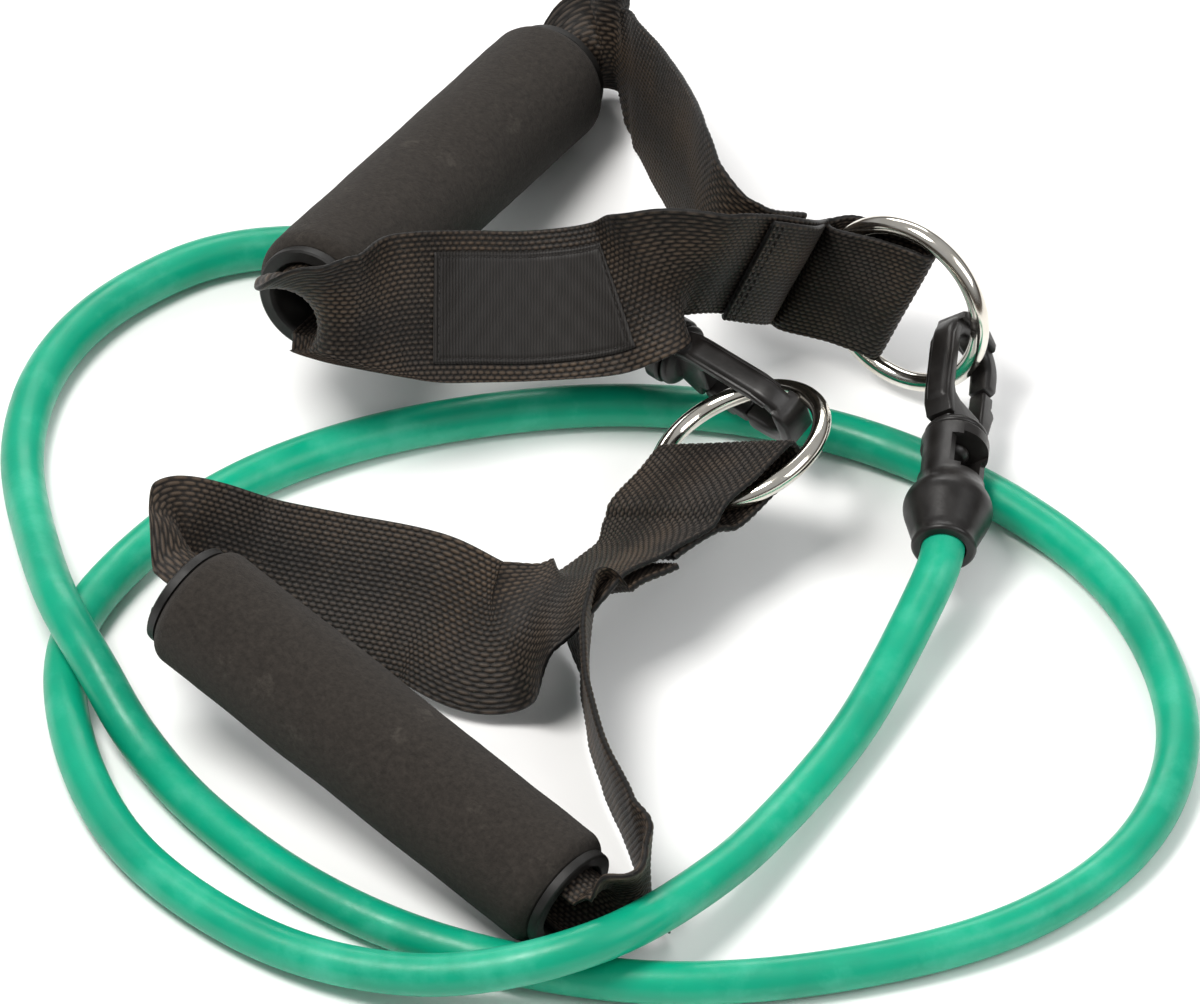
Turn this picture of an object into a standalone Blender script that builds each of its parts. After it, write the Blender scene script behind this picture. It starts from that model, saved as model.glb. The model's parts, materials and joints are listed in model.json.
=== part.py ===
"""A tubular resistance band: a coiled latex tube with a moulded ferrule and a swivel snap hook at each end,
a welded steel ring in each hook, and a webbing strap with a foam-covered grip on each ring.
World frame: metres, +Z up, the band lying on the plane z = 0."""

import math

import bmesh
import bpy
from mathutils import Matrix, Vector

MM = 0.001
GAP = 0.3 * MM

# Latex tube
TUBE_OUTER_R = 5.25 * MM
TUBE_WALL = 2.4 * MM
TUBE_STEP = 14 * MM
TUBE_INSERT = 15 * MM
TUBE_LEAD = 5
REST_Z = 5.5

# Ferrule, turned from the mouth (z = 0) to the outer face of its crown
FERRULE_LENGTH = 36 * MM
MOUTH_R = 7.1 * MM
BELL_R = 11.0 * MM
NECK_R = 8.3 * MM
BELL_TOP = 21.0 * MM
CROWN_THICK = 3.5 * MM
WINDOW_HALF = 5.3 * MM
ARM_HALF_WIDTH = 4.2 * MM
FERRULE_BORE_DEPTH = 18.2 * MM
STEM_HOLE_R = 2.7 * MM

# Plug that wedges the tube end in the ferrule
PLUG_STEM_R = 2.2 * MM
PLUG_HEAD_R = 4.8 * MM
PLUG_HEAD_THICK = 2.2 * MM
PLUG_STEM_LENGTH = 11 * MM

# Snap hook, its collar plane at z = 0 and its bend at +Z
HOOK_LENGTH = 38 * MM
HOOK_HALF_WIDTH = 10.6 * MM
HOOK_BAR = 4.8 * MM
HOOK_THICK = 6.0 * MM
EYE_BOTTOM = 10.5 * MM
NOSE_END = 22.0 * MM
COLLAR_R = 7.8 * MM
COLLAR_THICK = 2.0 * MM
STEM_R = 2.35 * MM
STEM_HEAD_R = 3.7 * MM
STEM_HEAD_THICK = 2.2 * MM
GATE_WIDTH = 4.2 * MM
GATE_THICK = 4.6 * MM

# Steel ring
RING_MEAN_R = 21.3 * MM
RING_WIRE_R = 2.3 * MM

# Webbing
WEB_WIDTH = 37.4 * MM
WEB_THICK = 1.7 * MM
WEB_COLUMNS = 6
WEB_SPAN = 10 * MM
WEB_TURN = 24
LAYER_PITCH = 2.1
FOLD_R = 3.6
LEAST_CURL = 0.5
POCKET_DEPTH = 26.5
FOLD_OFFSET = -3.3

# Grip
GRIP_LENGTH = 126 * MM
FOAM_R = 16 * MM
FOAM_BORE_R = 12.3 * MM
FOAM_ROUND = 4.5 * MM
CAP_R = 13.5 * MM
CAP_FLANGE = 2.4 * MM
CAP_BORE_R = 9.6 * MM
CAP_SPIGOT_R = 10.5 * MM
CAP_SPIGOT_LENGTH = 12 * MM
CORE_INNER_R = 10.8 * MM
CORE_OUTER_R = 12.0 * MM
CURL_R = 8.3

# Label sewn on strap A
LABEL_SPAN = (-41 * MM, 5 * MM)
LABEL_WIDTH = 27 * MM
LABEL_THICK = 0.5 * MM

# Points kept in each span of a smooth path
SPLITS = 16

# From the layout below to the world frame, in millimetres
FRAME_SHIFT = Vector((0.3, 15.4, -0.18))

# Turned parts
TURN_STEPS = 18

# Places, in millimetres: each hook is placed by its collar centre, its bend and the normal of its plane,
# each ring by its centre and normal, each grip by the centres of its two end faces
HOOK_A_BASE = Vector((85.8, 0.4, 20.1))
HOOK_A_TIP = Vector((89.1, 38.4, 21.0))
HOOK_A_NORMAL = Vector((-0.83, 0.086, -0.55))
HOOK_B_BASE = Vector((18.8, 26.7, 24.4))
HOOK_B_TIP = Vector((46.8, 3.6, 23.4))
HOOK_B_NORMAL = Vector((0.61, 0.73, 0.29))
RING_A_CENTRE = Vector((73.7, 40.0, 27.8))
RING_A_NORMAL = Vector((-0.53, -0.83, 0.19))
RING_B_CENTRE = Vector((33.7, -7.05, 25.9))
RING_B_NORMAL = Vector((-0.37, 0.14, 0.92))
GRIP_A_NEAR = Vector((-70.6, 24.2, 44.6))
GRIP_A_FAR = Vector((-10.8, 131.2, 16.3))
GRIP_B_NEAR = Vector((-6.5, -151.5, 16.6))
GRIP_B_FAR = Vector((-100.0, -69.9, 39.2))

# The tube's centre line between the ferrules, in millimetres. It lies on the floor except where it leaves
# a ferrule, passes under grip A, or crosses itself.
TUBE_WAYPOINTS = [
    (-25, 66, 14.4), (-42, 76.6, 7.8), (-60, 81.5, REST_Z), (-79.5, 82, REST_Z), (-96.4, 77.9, REST_Z),
    (-110.1, 69.4, REST_Z), (-120.7, 60.2, REST_Z), (-129.6, 48.3, REST_Z), (-136.4, 32.9, REST_Z),
    (-139.8, 12, REST_Z), (-138.8, -3.9, 6.5), (-136.9, -17, 9), (-133, -39.1, 14.2), (-128.7, -55.2, 16.8),
    (-120.5, -70.9, 13.5), (-114.7, -81.8, 9), (-107.7, -92.6, 6), (-95.9, -109.9, REST_Z),
    (-70.1, -136.1, REST_Z), (-36.1, -156.2, REST_Z), (12, -167.8, REST_Z), (60.2, -163, REST_Z),
    (102.4, -146.7, REST_Z), (129.2, -120.1, REST_Z), (139, -83.6, REST_Z), (126.3, -38.6, REST_Z),
    (101.7, -9, REST_Z), (63.1, 15.9, REST_Z), (24.1, 26.4, REST_Z), (-11.1, 26.8, REST_Z),
    (-60.7, 14.9, REST_Z), (-96.4, -6.6, REST_Z), (-122.9, -40, REST_Z), (-128.7, -60.8, REST_Z),
    (-124.1, -96.6, REST_Z), (-109.4, -127.2, REST_Z), (-76.1, -156.6, 6), (-43.4, -169.8, 10),
    (-19.3, -172.3, 16), (0, -167.7, 19.4), (9.6, -161.2, 19), (23.6, -145.4, 15.2), (36.4, -127.2, 11),
    (60, -87, 8), (73.5, -58, 12), (79.8, -44.5, 16.8),
]

COLOURS = {
    "latex_green": ((0.0, 0.37, 0.22), 0.45, 0.0),
    "plug_plastic": ((0.03, 0.03, 0.03), 0.5, 0.0),
    "moulded_black": ((0.035, 0.032, 0.03), 0.38, 0.0),
    "ring_chrome": ((0.8, 0.78, 0.74), 0.12, 1.0),
    "webbing_black": ((0.025, 0.022, 0.02), 0.85, 0.0),
    "foam_charcoal": ((0.05, 0.043, 0.04), 0.95, 0.0),
    "cap_black": ((0.02, 0.02, 0.02), 0.45, 0.0),
    "core_grey": ((0.3, 0.3, 0.3), 0.5, 0.0),
    "label_satin": ((0.02, 0.019, 0.018), 0.4, 0.0),
}


def clear_scene():
    for obj in list(bpy.data.objects):
        bpy.data.objects.remove(obj, do_unlink=True)


def make_collection(name, hidden=False):
    collection = bpy.data.collections.new(name)
    bpy.context.scene.collection.children.link(collection)
    collection.hide_render = hidden
    return collection


def make_material(name):
    colour, roughness, metallic = COLOURS[name]
    material = bpy.data.materials.new(name)
    material.use_nodes = True
    shader = material.node_tree.nodes["Principled BSDF"]
    shader.inputs["Base Color"].default_value = (*colour, 1)
    shader.inputs["Roughness"].default_value = roughness
    shader.inputs["Metallic"].default_value = metallic
    return material


def add_object(name, mesh, collection, material=None, frame=None):
    obj = bpy.data.objects.new(name, mesh)
    collection.objects.link(obj)
    if material:
        mesh.materials.append(material)
    if frame:
        obj.matrix_world = frame
    return obj


def frame_on_axis(origin, axis, side):
    """A placement with local Z along axis and local Y along the part of side square to it."""
    z = axis.normalized()
    y = (side - z * side.dot(z)).normalized()
    x = y.cross(z)
    rotation = Matrix((x, y, z)).transposed().to_4x4()
    return Matrix.Translation(origin) @ rotation


def mesh_from_bmesh(name, bm, smooth=True):
    bmesh.ops.recalc_face_normals(bm, faces=bm.faces)
    mesh = bpy.data.meshes.new(name)
    bm.to_mesh(mesh)
    bm.free()
    if smooth:
        mesh.shade_smooth()
        mesh.set_sharp_from_angle(angle=math.radians(40))
    return mesh


def modifier_set(modifier, **settings):
    for key, value in settings.items():
        setattr(modifier, key, value)
    return modifier


def realise(obj):
    """Replaces the object's mesh with the evaluated one, then removes the cutters that shaped it."""
    bpy.context.view_layer.update()
    graph = bpy.context.evaluated_depsgraph_get()
    mesh = bpy.data.meshes.new_from_object(obj.evaluated_get(graph))
    cutters = [modifier.object for modifier in obj.modifiers if modifier.type == "BOOLEAN"]
    obj.modifiers.clear()
    obj.data = mesh
    mesh.shade_smooth()
    mesh.set_sharp_from_angle(angle=math.radians(40))
    for cutter in cutters:
        bpy.data.objects.remove(cutter, do_unlink=True)


def turned_mesh(name, profile, steps=TURN_STEPS):
    """A solid turned about Z. The profile holds (radius, height) pairs, top to bottom down its outer side,
    closed back to its start for a tube or ended on the axis for a full solid."""
    bm = bmesh.new()
    points = [bm.verts.new((radius, 0, height)) for radius, height in profile]
    for start, end in zip(points, points[1:]):
        bm.edges.new((start, end))
    if profile[0][0] > 0 and profile[-1][0] > 0:
        bm.edges.new((points[-1], points[0]))
    outline = bpy.data.meshes.new(name)
    bm.to_mesh(outline)
    bm.free()
    blank = add_object(name, outline, bpy.context.scene.collection)
    screw = blank.modifiers.new("turn", "SCREW")
    modifier_set(screw, axis="Z", angle=2 * math.pi, steps=steps, render_steps=steps)
    modifier_set(screw, use_merge_vertices=True, merge_threshold=0.01 * MM)
    realise(blank)
    mesh = blank.data
    bpy.data.objects.remove(blank, do_unlink=True)
    return mesh


def add_cut(obj, cutter, operation="DIFFERENCE"):
    modifier = obj.modifiers.new(cutter.name, "BOOLEAN")
    modifier_set(modifier, operation=operation, solver="EXACT", object=cutter)


def box_mesh(name, low, high):
    bm = bmesh.new()
    bmesh.ops.create_cube(bm, size=1)
    size = Vector(high) - Vector(low)
    middle = (Vector(high) + Vector(low)) / 2
    bmesh.ops.transform(bm, matrix=Matrix.Translation(middle) @ Matrix.Diagonal((*size, 1)), verts=bm.verts)
    return mesh_from_bmesh(name, bm, smooth=False)


def rod_mesh(name, radius, low, high, sides=TURN_STEPS):
    bm = bmesh.new()
    depth = high - low
    bmesh.ops.create_cone(bm, cap_ends=True, segments=sides, radius1=radius, radius2=radius, depth=depth)
    bmesh.ops.translate(bm, vec=(0, 0, (high + low) / 2), verts=bm.verts)
    return mesh_from_bmesh(name, bm)


def helper(obj):
    obj.hide_render = True
    obj.display_type = "WIRE"
    return obj


def dense_path(points):
    """Points along a centripetal Catmull-Rom curve through the given points, SPLITS to each span."""
    ends = [points[0] * 2 - points[1]] + points + [points[-1] * 2 - points[-2]]
    dense = []
    for before, start, end, after in zip(ends, ends[1:], ends[2:], ends[3:]):
        knots = [0.0]
        for first, second in ((before, start), (start, end), (end, after)):
            knots.append(knots[-1] + math.sqrt((second - first).length))
        for i in range(SPLITS):
            t = knots[1] + (knots[2] - knots[1]) * i / SPLITS
            dense.append(catmull_rom((before, start, end, after), knots, t))
    dense.append(points[-1])
    return dense


def even_path(points, step):
    """Points at an even spacing along the smooth curve through the given points."""
    dense = dense_path(points)
    lengths = [0.0]
    for first, second in zip(dense, dense[1:]):
        lengths.append(lengths[-1] + (second - first).length)
    count = max(2, round(lengths[-1] / step))
    result, index = [], 0
    for i in range(count + 1):
        target = lengths[-1] * i / count
        while index < len(dense) - 2 and lengths[index + 1] < target:
            index += 1
        share = (target - lengths[index]) / (lengths[index + 1] - lengths[index])
        result.append(dense[index].lerp(dense[index + 1], min(share, 1.0)))
    return result


def catmull_rom(points, knots, t):
    p0, p1, p2, p3 = points
    t0, t1, t2, t3 = knots
    a1 = p0 * ((t1 - t) / (t1 - t0)) + p1 * ((t - t0) / (t1 - t0))
    a2 = p1 * ((t2 - t) / (t2 - t1)) + p2 * ((t - t1) / (t2 - t1))
    a3 = p2 * ((t3 - t) / (t3 - t2)) + p3 * ((t - t2) / (t3 - t2))
    b1 = a1 * ((t2 - t) / (t2 - t0)) + a2 * ((t - t0) / (t2 - t0))
    b2 = a2 * ((t3 - t) / (t3 - t1)) + a3 * ((t - t1) / (t3 - t1))
    return b1 * ((t2 - t) / (t2 - t1)) + b2 * ((t - t1) / (t2 - t1))


def end_axis(base, tip):
    """Unit vector from a hook's collar to its bend."""
    return (tip - base).normalized()


def build_tube(parts, material):
    axis_b = end_axis(HOOK_B_BASE, HOOK_B_TIP)
    axis_a = end_axis(HOOK_A_BASE, HOOK_A_TIP)
    mouth_b = HOOK_B_BASE - axis_b * (FERRULE_LENGTH / MM)
    mouth_a = HOOK_A_BASE - axis_a * (FERRULE_LENGTH / MM)
    lead_b = mouth_b - axis_b * TUBE_LEAD
    lead_a = mouth_a - axis_a * TUBE_LEAD
    control = [mouth_b, lead_b] + [Vector(point) for point in TUBE_WAYPOINTS] + [lead_a, mouth_a]
    free = even_path([point * MM for point in control], TUBE_STEP)
    inner_b = (mouth_b + axis_b * (TUBE_INSERT / MM)) * MM
    inner_a = (mouth_a + axis_a * (TUBE_INSERT / MM)) * MM
    path = [inner_b, mouth_b * MM, lead_b * MM] + free[1:-1] + [lead_a * MM, mouth_a * MM, inner_a]
    curve = bpy.data.curves.new("tube_path", "CURVE")
    curve.dimensions = "3D"
    curve.bevel_depth = TUBE_OUTER_R
    curve.bevel_resolution = 2
    curve.twist_mode = "MINIMUM"
    spline = curve.splines.new("POLY")
    spline.points.add(len(path) - 1)
    for spot, point in zip(spline.points, path):
        spot.co = (*point, 1)
    guide = bpy.data.objects.new("tube_guide", curve)
    parts.objects.link(guide)
    bpy.context.view_layer.update()
    graph = bpy.context.evaluated_depsgraph_get()
    mesh = bpy.data.meshes.new_from_object(guide.evaluated_get(graph))
    bpy.data.objects.remove(guide, do_unlink=True)
    tube = add_object("latex_tube", mesh, parts, material)
    wall = tube.modifiers.new("wall", "SOLIDIFY")
    modifier_set(wall, thickness=TUBE_WALL, offset=-1, use_even_offset=True)
    mesh.shade_smooth()
    return tube


def build_ferrule(name, frame, parts, cutters, material):
    bead = 0.5 * MM
    profile = [
        (0, FERRULE_LENGTH), (NECK_R - bead, FERRULE_LENGTH), (NECK_R, FERRULE_LENGTH - bead),
        (NECK_R, BELL_TOP), (9.6 * MM, 18 * MM), (10.8 * MM, 15 * MM), (BELL_R, 12.5 * MM),
        (10.7 * MM, 10 * MM), (MOUTH_R + bead, 1.2 * MM), (MOUTH_R, 0), (0, 0),
    ]
    ferrule = add_object(name, turned_mesh(name, profile), parts, material, frame)
    far = 20 * MM
    window_top = FERRULE_LENGTH - CROWN_THICK
    shapes = [
        rod_mesh(name + "_bore", TUBE_OUTER_R + 0.35 * MM, -MM, FERRULE_BORE_DEPTH),
        rod_mesh(name + "_stem_hole", STEM_HOLE_R, window_top - MM, FERRULE_LENGTH + MM, 16),
        box_mesh(name + "_window", (-WINDOW_HALF, -far, BELL_TOP), (WINDOW_HALF, far, window_top)),
        box_mesh(name + "_left_trim", (-far, ARM_HALF_WIDTH, BELL_TOP + MM), (far, far, window_top - MM)),
        box_mesh(name + "_right_trim", (-far, -far, BELL_TOP + MM), (far, -ARM_HALF_WIDTH, window_top - MM)),
    ]
    for shape in shapes:
        add_cut(ferrule, helper(add_object(shape.name, shape, cutters, frame=frame)))
    realise(ferrule)
    return ferrule


def build_plug(name, frame, parts, material):
    top = TUBE_INSERT + GAP + PLUG_HEAD_THICK
    under = TUBE_INSERT + GAP
    low = under - PLUG_STEM_LENGTH
    point = 0.6 * MM
    profile = [
        (0, top), (PLUG_HEAD_R - point, top), (PLUG_HEAD_R, top - point), (PLUG_HEAD_R, under),
        (PLUG_STEM_R, under), (PLUG_STEM_R, low + MM), (PLUG_STEM_R - point, low), (0, low),
    ]
    return add_object(name, turned_mesh(name, profile, 16), parts, material, frame)


def arc(centre, radius, start, end, count):
    """Points on an arc in the X-Z plane; angles in degrees from +X towards +Z."""
    points = []
    for i in range(count + 1):
        angle = math.radians(start + (end - start) * i / count)
        points.append((centre[0] + radius * math.cos(angle), centre[1] + radius * math.sin(angle)))
    return points


def plate_mesh(name, outline, thick, rounding):
    """A plate with the given X-Z outline, its thickness along Y and its edges rounded."""
    bm = bmesh.new()
    verts = [bm.verts.new((x, -thick / 2, z)) for x, z in outline]
    face = bm.faces.new(verts)
    side = bmesh.ops.extrude_face_region(bm, geom=[face])
    moved = [item for item in side["geom"] if isinstance(item, bmesh.types.BMVert)]
    bmesh.ops.translate(bm, vec=(0, thick, 0), verts=moved)
    bmesh.ops.recalc_face_normals(bm, faces=bm.faces)
    rims = [edge for edge in bm.edges if abs(edge.verts[0].co.y - edge.verts[1].co.y) < 1e-9]
    bmesh.ops.bevel(
        bm, geom=rims, offset=rounding, segments=2, profile=0.6, affect="EDGES", clamp_overlap=True
    )
    return mesh_from_bmesh(name, bm)


def hook_outline():
    outer = HOOK_HALF_WIDTH
    inner = outer - HOOK_BAR
    centre = (0, HOOK_LENGTH - outer)
    outline = [(-6.2 * MM, COLLAR_THICK), (-outer, 8.5 * MM)]
    outline += arc(centre, outer, 180, 0, 12)
    outline += [(outer, NOSE_END + 1.6 * MM), (outer - 1.2 * MM, NOSE_END), (inner, NOSE_END - 0.2 * MM)]
    outline += arc(centre, inner, 0, 180, 8)
    outline += [(-inner, EYE_BOTTOM + 2.5 * MM), (-inner + 2.5 * MM, EYE_BOTTOM)]
    outline += [(inner - 0.6 * MM, EYE_BOTTOM), (inner - 0.2 * MM, 8.2 * MM), (outer - 0.4 * MM, 7.6 * MM)]
    outline += [(6.2 * MM, COLLAR_THICK)]
    return outline


def build_hook(name, frame, parts, cutters, material):
    body = plate_mesh(name, hook_outline(), HOOK_THICK, 0.9 * MM)
    hook = add_object(name, body, parts, material, frame)
    head_top = -CROWN_THICK - GAP
    head_low = head_top - STEM_HEAD_THICK
    profile = [
        (0, COLLAR_THICK + 0.6 * MM), (COLLAR_R - MM, COLLAR_THICK + 0.6 * MM),
        (COLLAR_R, COLLAR_THICK - 0.3 * MM), (COLLAR_R, GAP), (STEM_R, GAP), (STEM_R, head_top), (STEM_HEAD_R, head_top - 0.2 * MM),
        (STEM_HEAD_R * 0.7, head_low), (0, head_low),
    ]
    collar_mesh = turned_mesh(name + "_collar", profile, 20)
    collar = helper(add_object(name + "_collar", collar_mesh, cutters, frame=frame))
    add_cut(hook, collar, "UNION")
    realise(hook)
    return hook


def build_gate(name, frame, parts, material):
    """The sprung tongue that closes the hook's mouth. Its origin is on its hinge axis, at its foot."""
    middle = HOOK_HALF_WIDTH - HOOK_BAR / 2
    foot = 8.2 * MM + GAP + GATE_WIDTH / 2
    top = NOSE_END - GAP - foot
    half = GATE_WIDTH / 2
    outline = arc((0, 0), half, 180, 360, 6)
    outline += [(half + 0.9 * MM, top * 0.45), (half + 0.7 * MM, top * 0.62), (half, top * 0.66)]
    outline += [(half, top - 0.5 * MM), (half - 0.5 * MM, top), (-half + 0.5 * MM, top - 0.3 * MM)]
    outline += [(-half, top - 0.8 * MM)]
    place = frame @ Matrix.Translation((middle, 0, foot))
    return add_object(name, plate_mesh(name, outline, GATE_THICK, 0.6 * MM), parts, material, place)


def build_ring(name, centre, normal, parts, material):
    bpy.ops.mesh.primitive_torus_add(
        major_radius=RING_MEAN_R, minor_radius=RING_WIRE_R, major_segments=40, minor_segments=8
    )
    ring = bpy.context.object
    for collection in list(ring.users_collection):
        collection.objects.unlink(ring)
    parts.objects.link(ring)
    ring.name = name
    ring.data.name = name
    ring.data.materials.append(material)
    ring.data.shade_smooth()
    ring.matrix_world = frame_on_axis(centre * MM, normal, Vector((0, 0, 1)) + Vector((0, 0.1, 0)))
    return ring


def grip_frame(near, far):
    """A placement whose Z runs from the far face to the near face of a grip, centred between them."""
    axis = (near - far).normalized()
    return frame_on_axis((near + far) / 2 * MM, axis, Vector((0, 0, 1)))


def build_grip(letter, near, far, parts, materials):
    frame = grip_frame(near, far)
    half = GRIP_LENGTH / 2
    foam_half = half - CAP_FLANGE - GAP
    core_half = foam_half
    shoulder_r = FOAM_R - 0.7 * MM
    shoulder = foam_half - 1.6 * MM
    recess_r = CAP_R + 0.2 * MM
    foam_profile = [
        (FOAM_BORE_R, foam_half), (recess_r, foam_half), (shoulder_r, shoulder),
        (FOAM_R, foam_half - FOAM_ROUND), (FOAM_R, 0), (FOAM_R, FOAM_ROUND - foam_half),
        (shoulder_r, -shoulder), (recess_r, -foam_half), (FOAM_BORE_R, -foam_half),
    ]
    foam = turned_mesh("foam", foam_profile)
    add_object("foam_grip_" + letter, foam, parts, materials["foam_charcoal"], frame)
    core_profile = [(CORE_INNER_R, core_half), (CORE_OUTER_R, core_half), (CORE_OUTER_R, -core_half),
                    (CORE_INNER_R, -core_half)]
    core = turned_mesh("core", core_profile)
    add_object("grip_core_" + letter, core, parts, materials["core_grey"], frame)
    lip = 0.9 * MM
    seat = half - CAP_FLANGE
    cap_profile = [
        (CAP_BORE_R + lip, half), (CAP_R - 0.6 * MM, half), (CAP_R, half - 0.7 * MM), (CAP_R, seat),
        (CAP_SPIGOT_R, seat), (CAP_SPIGOT_R, seat - CAP_SPIGOT_LENGTH),
        (CAP_BORE_R, seat - CAP_SPIGOT_LENGTH), (CAP_BORE_R, half - lip),
    ]
    turn = Matrix.Rotation(math.pi, 4, "X")
    for end, place in (("near", frame), ("far", frame @ turn)):
        mesh = turned_mesh("cap", cap_profile)
        add_object(f"end_cap_{end}_{letter}", mesh, parts, materials["cap_black"], place)


def ribbon_sections(stations):
    """Sections of the webbing through its stations. Each holds the middle of its width, its heading, its
    width direction and its curl, which bends the width into an arc towards heading x width."""
    dense = dense_path([station[0] for station in stations])
    last = len(dense) - 1
    sections = []
    for k in range(len(stations) - 1):
        first = k * SPLITS
        span = dense[first:first + SPLITS + 1]
        length = sum((end - start).length for start, end in zip(span, span[1:]))
        turn = math.degrees((span[1] - span[0]).angle(span[-1] - span[-2]))
        count = max(1, math.ceil(length / WEB_SPAN), math.ceil(turn / WEB_TURN))
        for step in range(count):
            index = first + round(SPLITS * step / count)
            sections.append(section_at(stations, dense, index, k, step / count))
    sections.append(section_at(stations, dense, last, len(stations) - 2, 1.0))
    return sections


def section_at(stations, dense, index, k, share):
    heading = (dense[min(index + 1, len(dense) - 1)] - dense[max(index - 1, 0)]).normalized()
    eased = share * share * (3 - 2 * share)
    width = stations[k][1].normalized().slerp(stations[k + 1][1].normalized(), eased)
    curl = stations[k][2] + (stations[k + 1][2] - stations[k][2]) * eased
    if abs(curl) < LEAST_CURL:
        curl = LEAST_CURL
    width = (width - heading * width.dot(heading)).normalized()
    return (dense[index], heading, width, math.radians(curl))


def section_point(section, across, out):
    """A point of the webbing: across is along its width from its middle, out is along its face's normal."""
    point, tangent, width, curl = section
    face = tangent.cross(width)
    radius = WEB_WIDTH / curl
    angle = across / radius
    inward = face * math.cos(angle) - width * math.sin(angle)
    on_sheet = point + width * (radius * math.sin(angle)) + face * (radius * (1 - math.cos(angle)))
    return on_sheet + inward * out


def ribbon_mesh(name, sections, across_low, across_high, out_low, out_high, columns=WEB_COLUMNS):
    """A closed band lofted through the sections, between two lines across the width and two depths."""
    bm = bmesh.new()
    rings = []
    for section in sections:
        ring = []
        for depth, order in ((out_high, range(columns + 1)), (out_low, range(columns, -1, -1))):
            for i in order:
                across = across_low + (across_high - across_low) * i / columns
                ring.append(bm.verts.new(section_point(section, across, depth)))
        rings.append(ring)
    count = len(rings[0])
    for here, there in zip(rings, rings[1:]):
        for i in range(count):
            j = (i + 1) % count
            bm.faces.new((here[i], here[j], there[j], there[i]))
    for ring in (rings[0], rings[-1]):
        for i in range(columns):
            bm.faces.new((ring[i], ring[i + 1], ring[-2 - i], ring[-1 - i]))
    return mesh_from_bmesh(name, bm)


def bore_stations(entry, exit_, side, curl_sign):
    """The webbing's way through a grip, from the entry face to the exit face, curled against its bore."""
    heading = (exit_ - entry).normalized()
    side = (side - heading * side.dot(heading)).normalized()
    width = heading.cross(side) * curl_sign
    curl = curl_sign * math.degrees(WEB_WIDTH / MM / CURL_R)
    length = (exit_ - entry).length
    spots = (-4, 1, 10, length / 2, length - 10, length - 1, length + 4)
    return [(entry + heading * spot + side * CURL_R, width, curl) for spot in spots]


def fold_stations(centre, normal, width, outward, skew, turn):
    """The pocket that holds half of the ring: up to its fold on one side of the ring, back on the other."""
    stations = []
    spots = [(-POCKET_DEPTH, -1.05, skew, turn), (-POCKET_DEPTH * 0.88, -FOLD_R, skew * 0.8, 0),
             (-12, -FOLD_R, skew * 0.3, 0), (FOLD_OFFSET, -FOLD_R, 0, 0)]
    spots += [(FOLD_OFFSET + FOLD_R * 0.71, -FOLD_R * 0.71, 0, 0), (FOLD_OFFSET + FOLD_R, 0, 0, 0)]
    spots += [(along, -aside, shift, angle) for along, aside, shift, angle in reversed(spots[:-1])]
    for along, aside, shift, angle in spots:
        point = centre + outward * along + normal * aside + width * shift
        turned = Matrix.Rotation(math.radians(angle), 3, outward) @ width
        stations.append((point, turned, 0))
    return stations


def station(x, y, z, wx, wy, wz, curl=0):
    return (Vector((x, y, z)), Vector((wx, wy, wz)), curl)


def lay_over(stations, normal, layers):
    """The same stations moved along the normal by a number of layers."""
    return [(point + normal * (LAYER_PITCH * layers), width, curl) for point, width, curl in stations]


def strap_a_stations():
    normal = RING_A_NORMAL.normalized()
    width = Vector((0.337, -0.06, 0.94))
    width = (width - normal * width.dot(normal)).normalized()
    outward = width.cross(normal)
    if outward.x < 0:
        outward = -outward
    sewn = [station(27.5, 31.6, 49.0, 0.33, -0.05, 0.94), station(35, 36.2, 45.2, 0.337, -0.06, 0.94),
            station(44.5, 43.0, 36.8, 0.337, -0.06, 0.94)]
    front = Vector((0.415, -0.874, -0.204)).normalized()
    back_end = lay_over(sewn[1:], front, -1)[::-1]
    far_leg = [
        station(28, 40, 48.9, 0.3, 0, 0.95), station(25, 47.5, 49, 0.2, 0, 0.98),
        station(23.3, 60, 46.5, 0.12, 0.05, 0.99), station(20, 80, 38.5, 0.1, 0.1, 0.99),
        station(14.5, 103, 28.5, 0.1, 0.05, 0.99), station(8.8, 122, 21.5, 0.05, 0, 0.99),
        station(6.5, 129.5, 19.3, 0, 0, 1), station(3.5, 134.5, 18.9, 0, 0.1, 0.99, 40),
        station(0.2, 134.6, 18.2, 0, 0.2, 0.98, 150),
    ]
    bore = bore_stations(GRIP_A_FAR, GRIP_A_NEAR, Vector((1, 0, 0.4)), 1)
    near_leg = [
        station(-68, 14.3, 50.5, -0.34, 0.41, 0.85, 190), station(-66.2, 10.6, 51.6, -0.15, 0.35, 0.92, 80),
        station(-60, 9.8, 51.6, 0, 0.3, 0.95, 20), station(-48, 16.8, 48.6, 0, 0.62, 0.78),
        station(-33, 24.5, 41.8, 0, 0.707, 0.707), station(-15.7, 29, 37.4, 0, 0.707, 0.707),
        station(2, 28.7, 41, 0, 0.68, 0.73), station(15, 27.6, 49.8, 0.15, 0.25, 0.957),
    ]
    middle = [station(26.5, 30, 51, 0.33, -0.05, 0.94)] + sewn[1:]
    fold = fold_stations(RING_A_CENTRE, normal, width, outward, -10, 0)
    tail = lay_over(sewn[1:], front, 1)[::-1]
    return back_end + far_leg + bore + near_leg + middle + fold + tail


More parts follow.
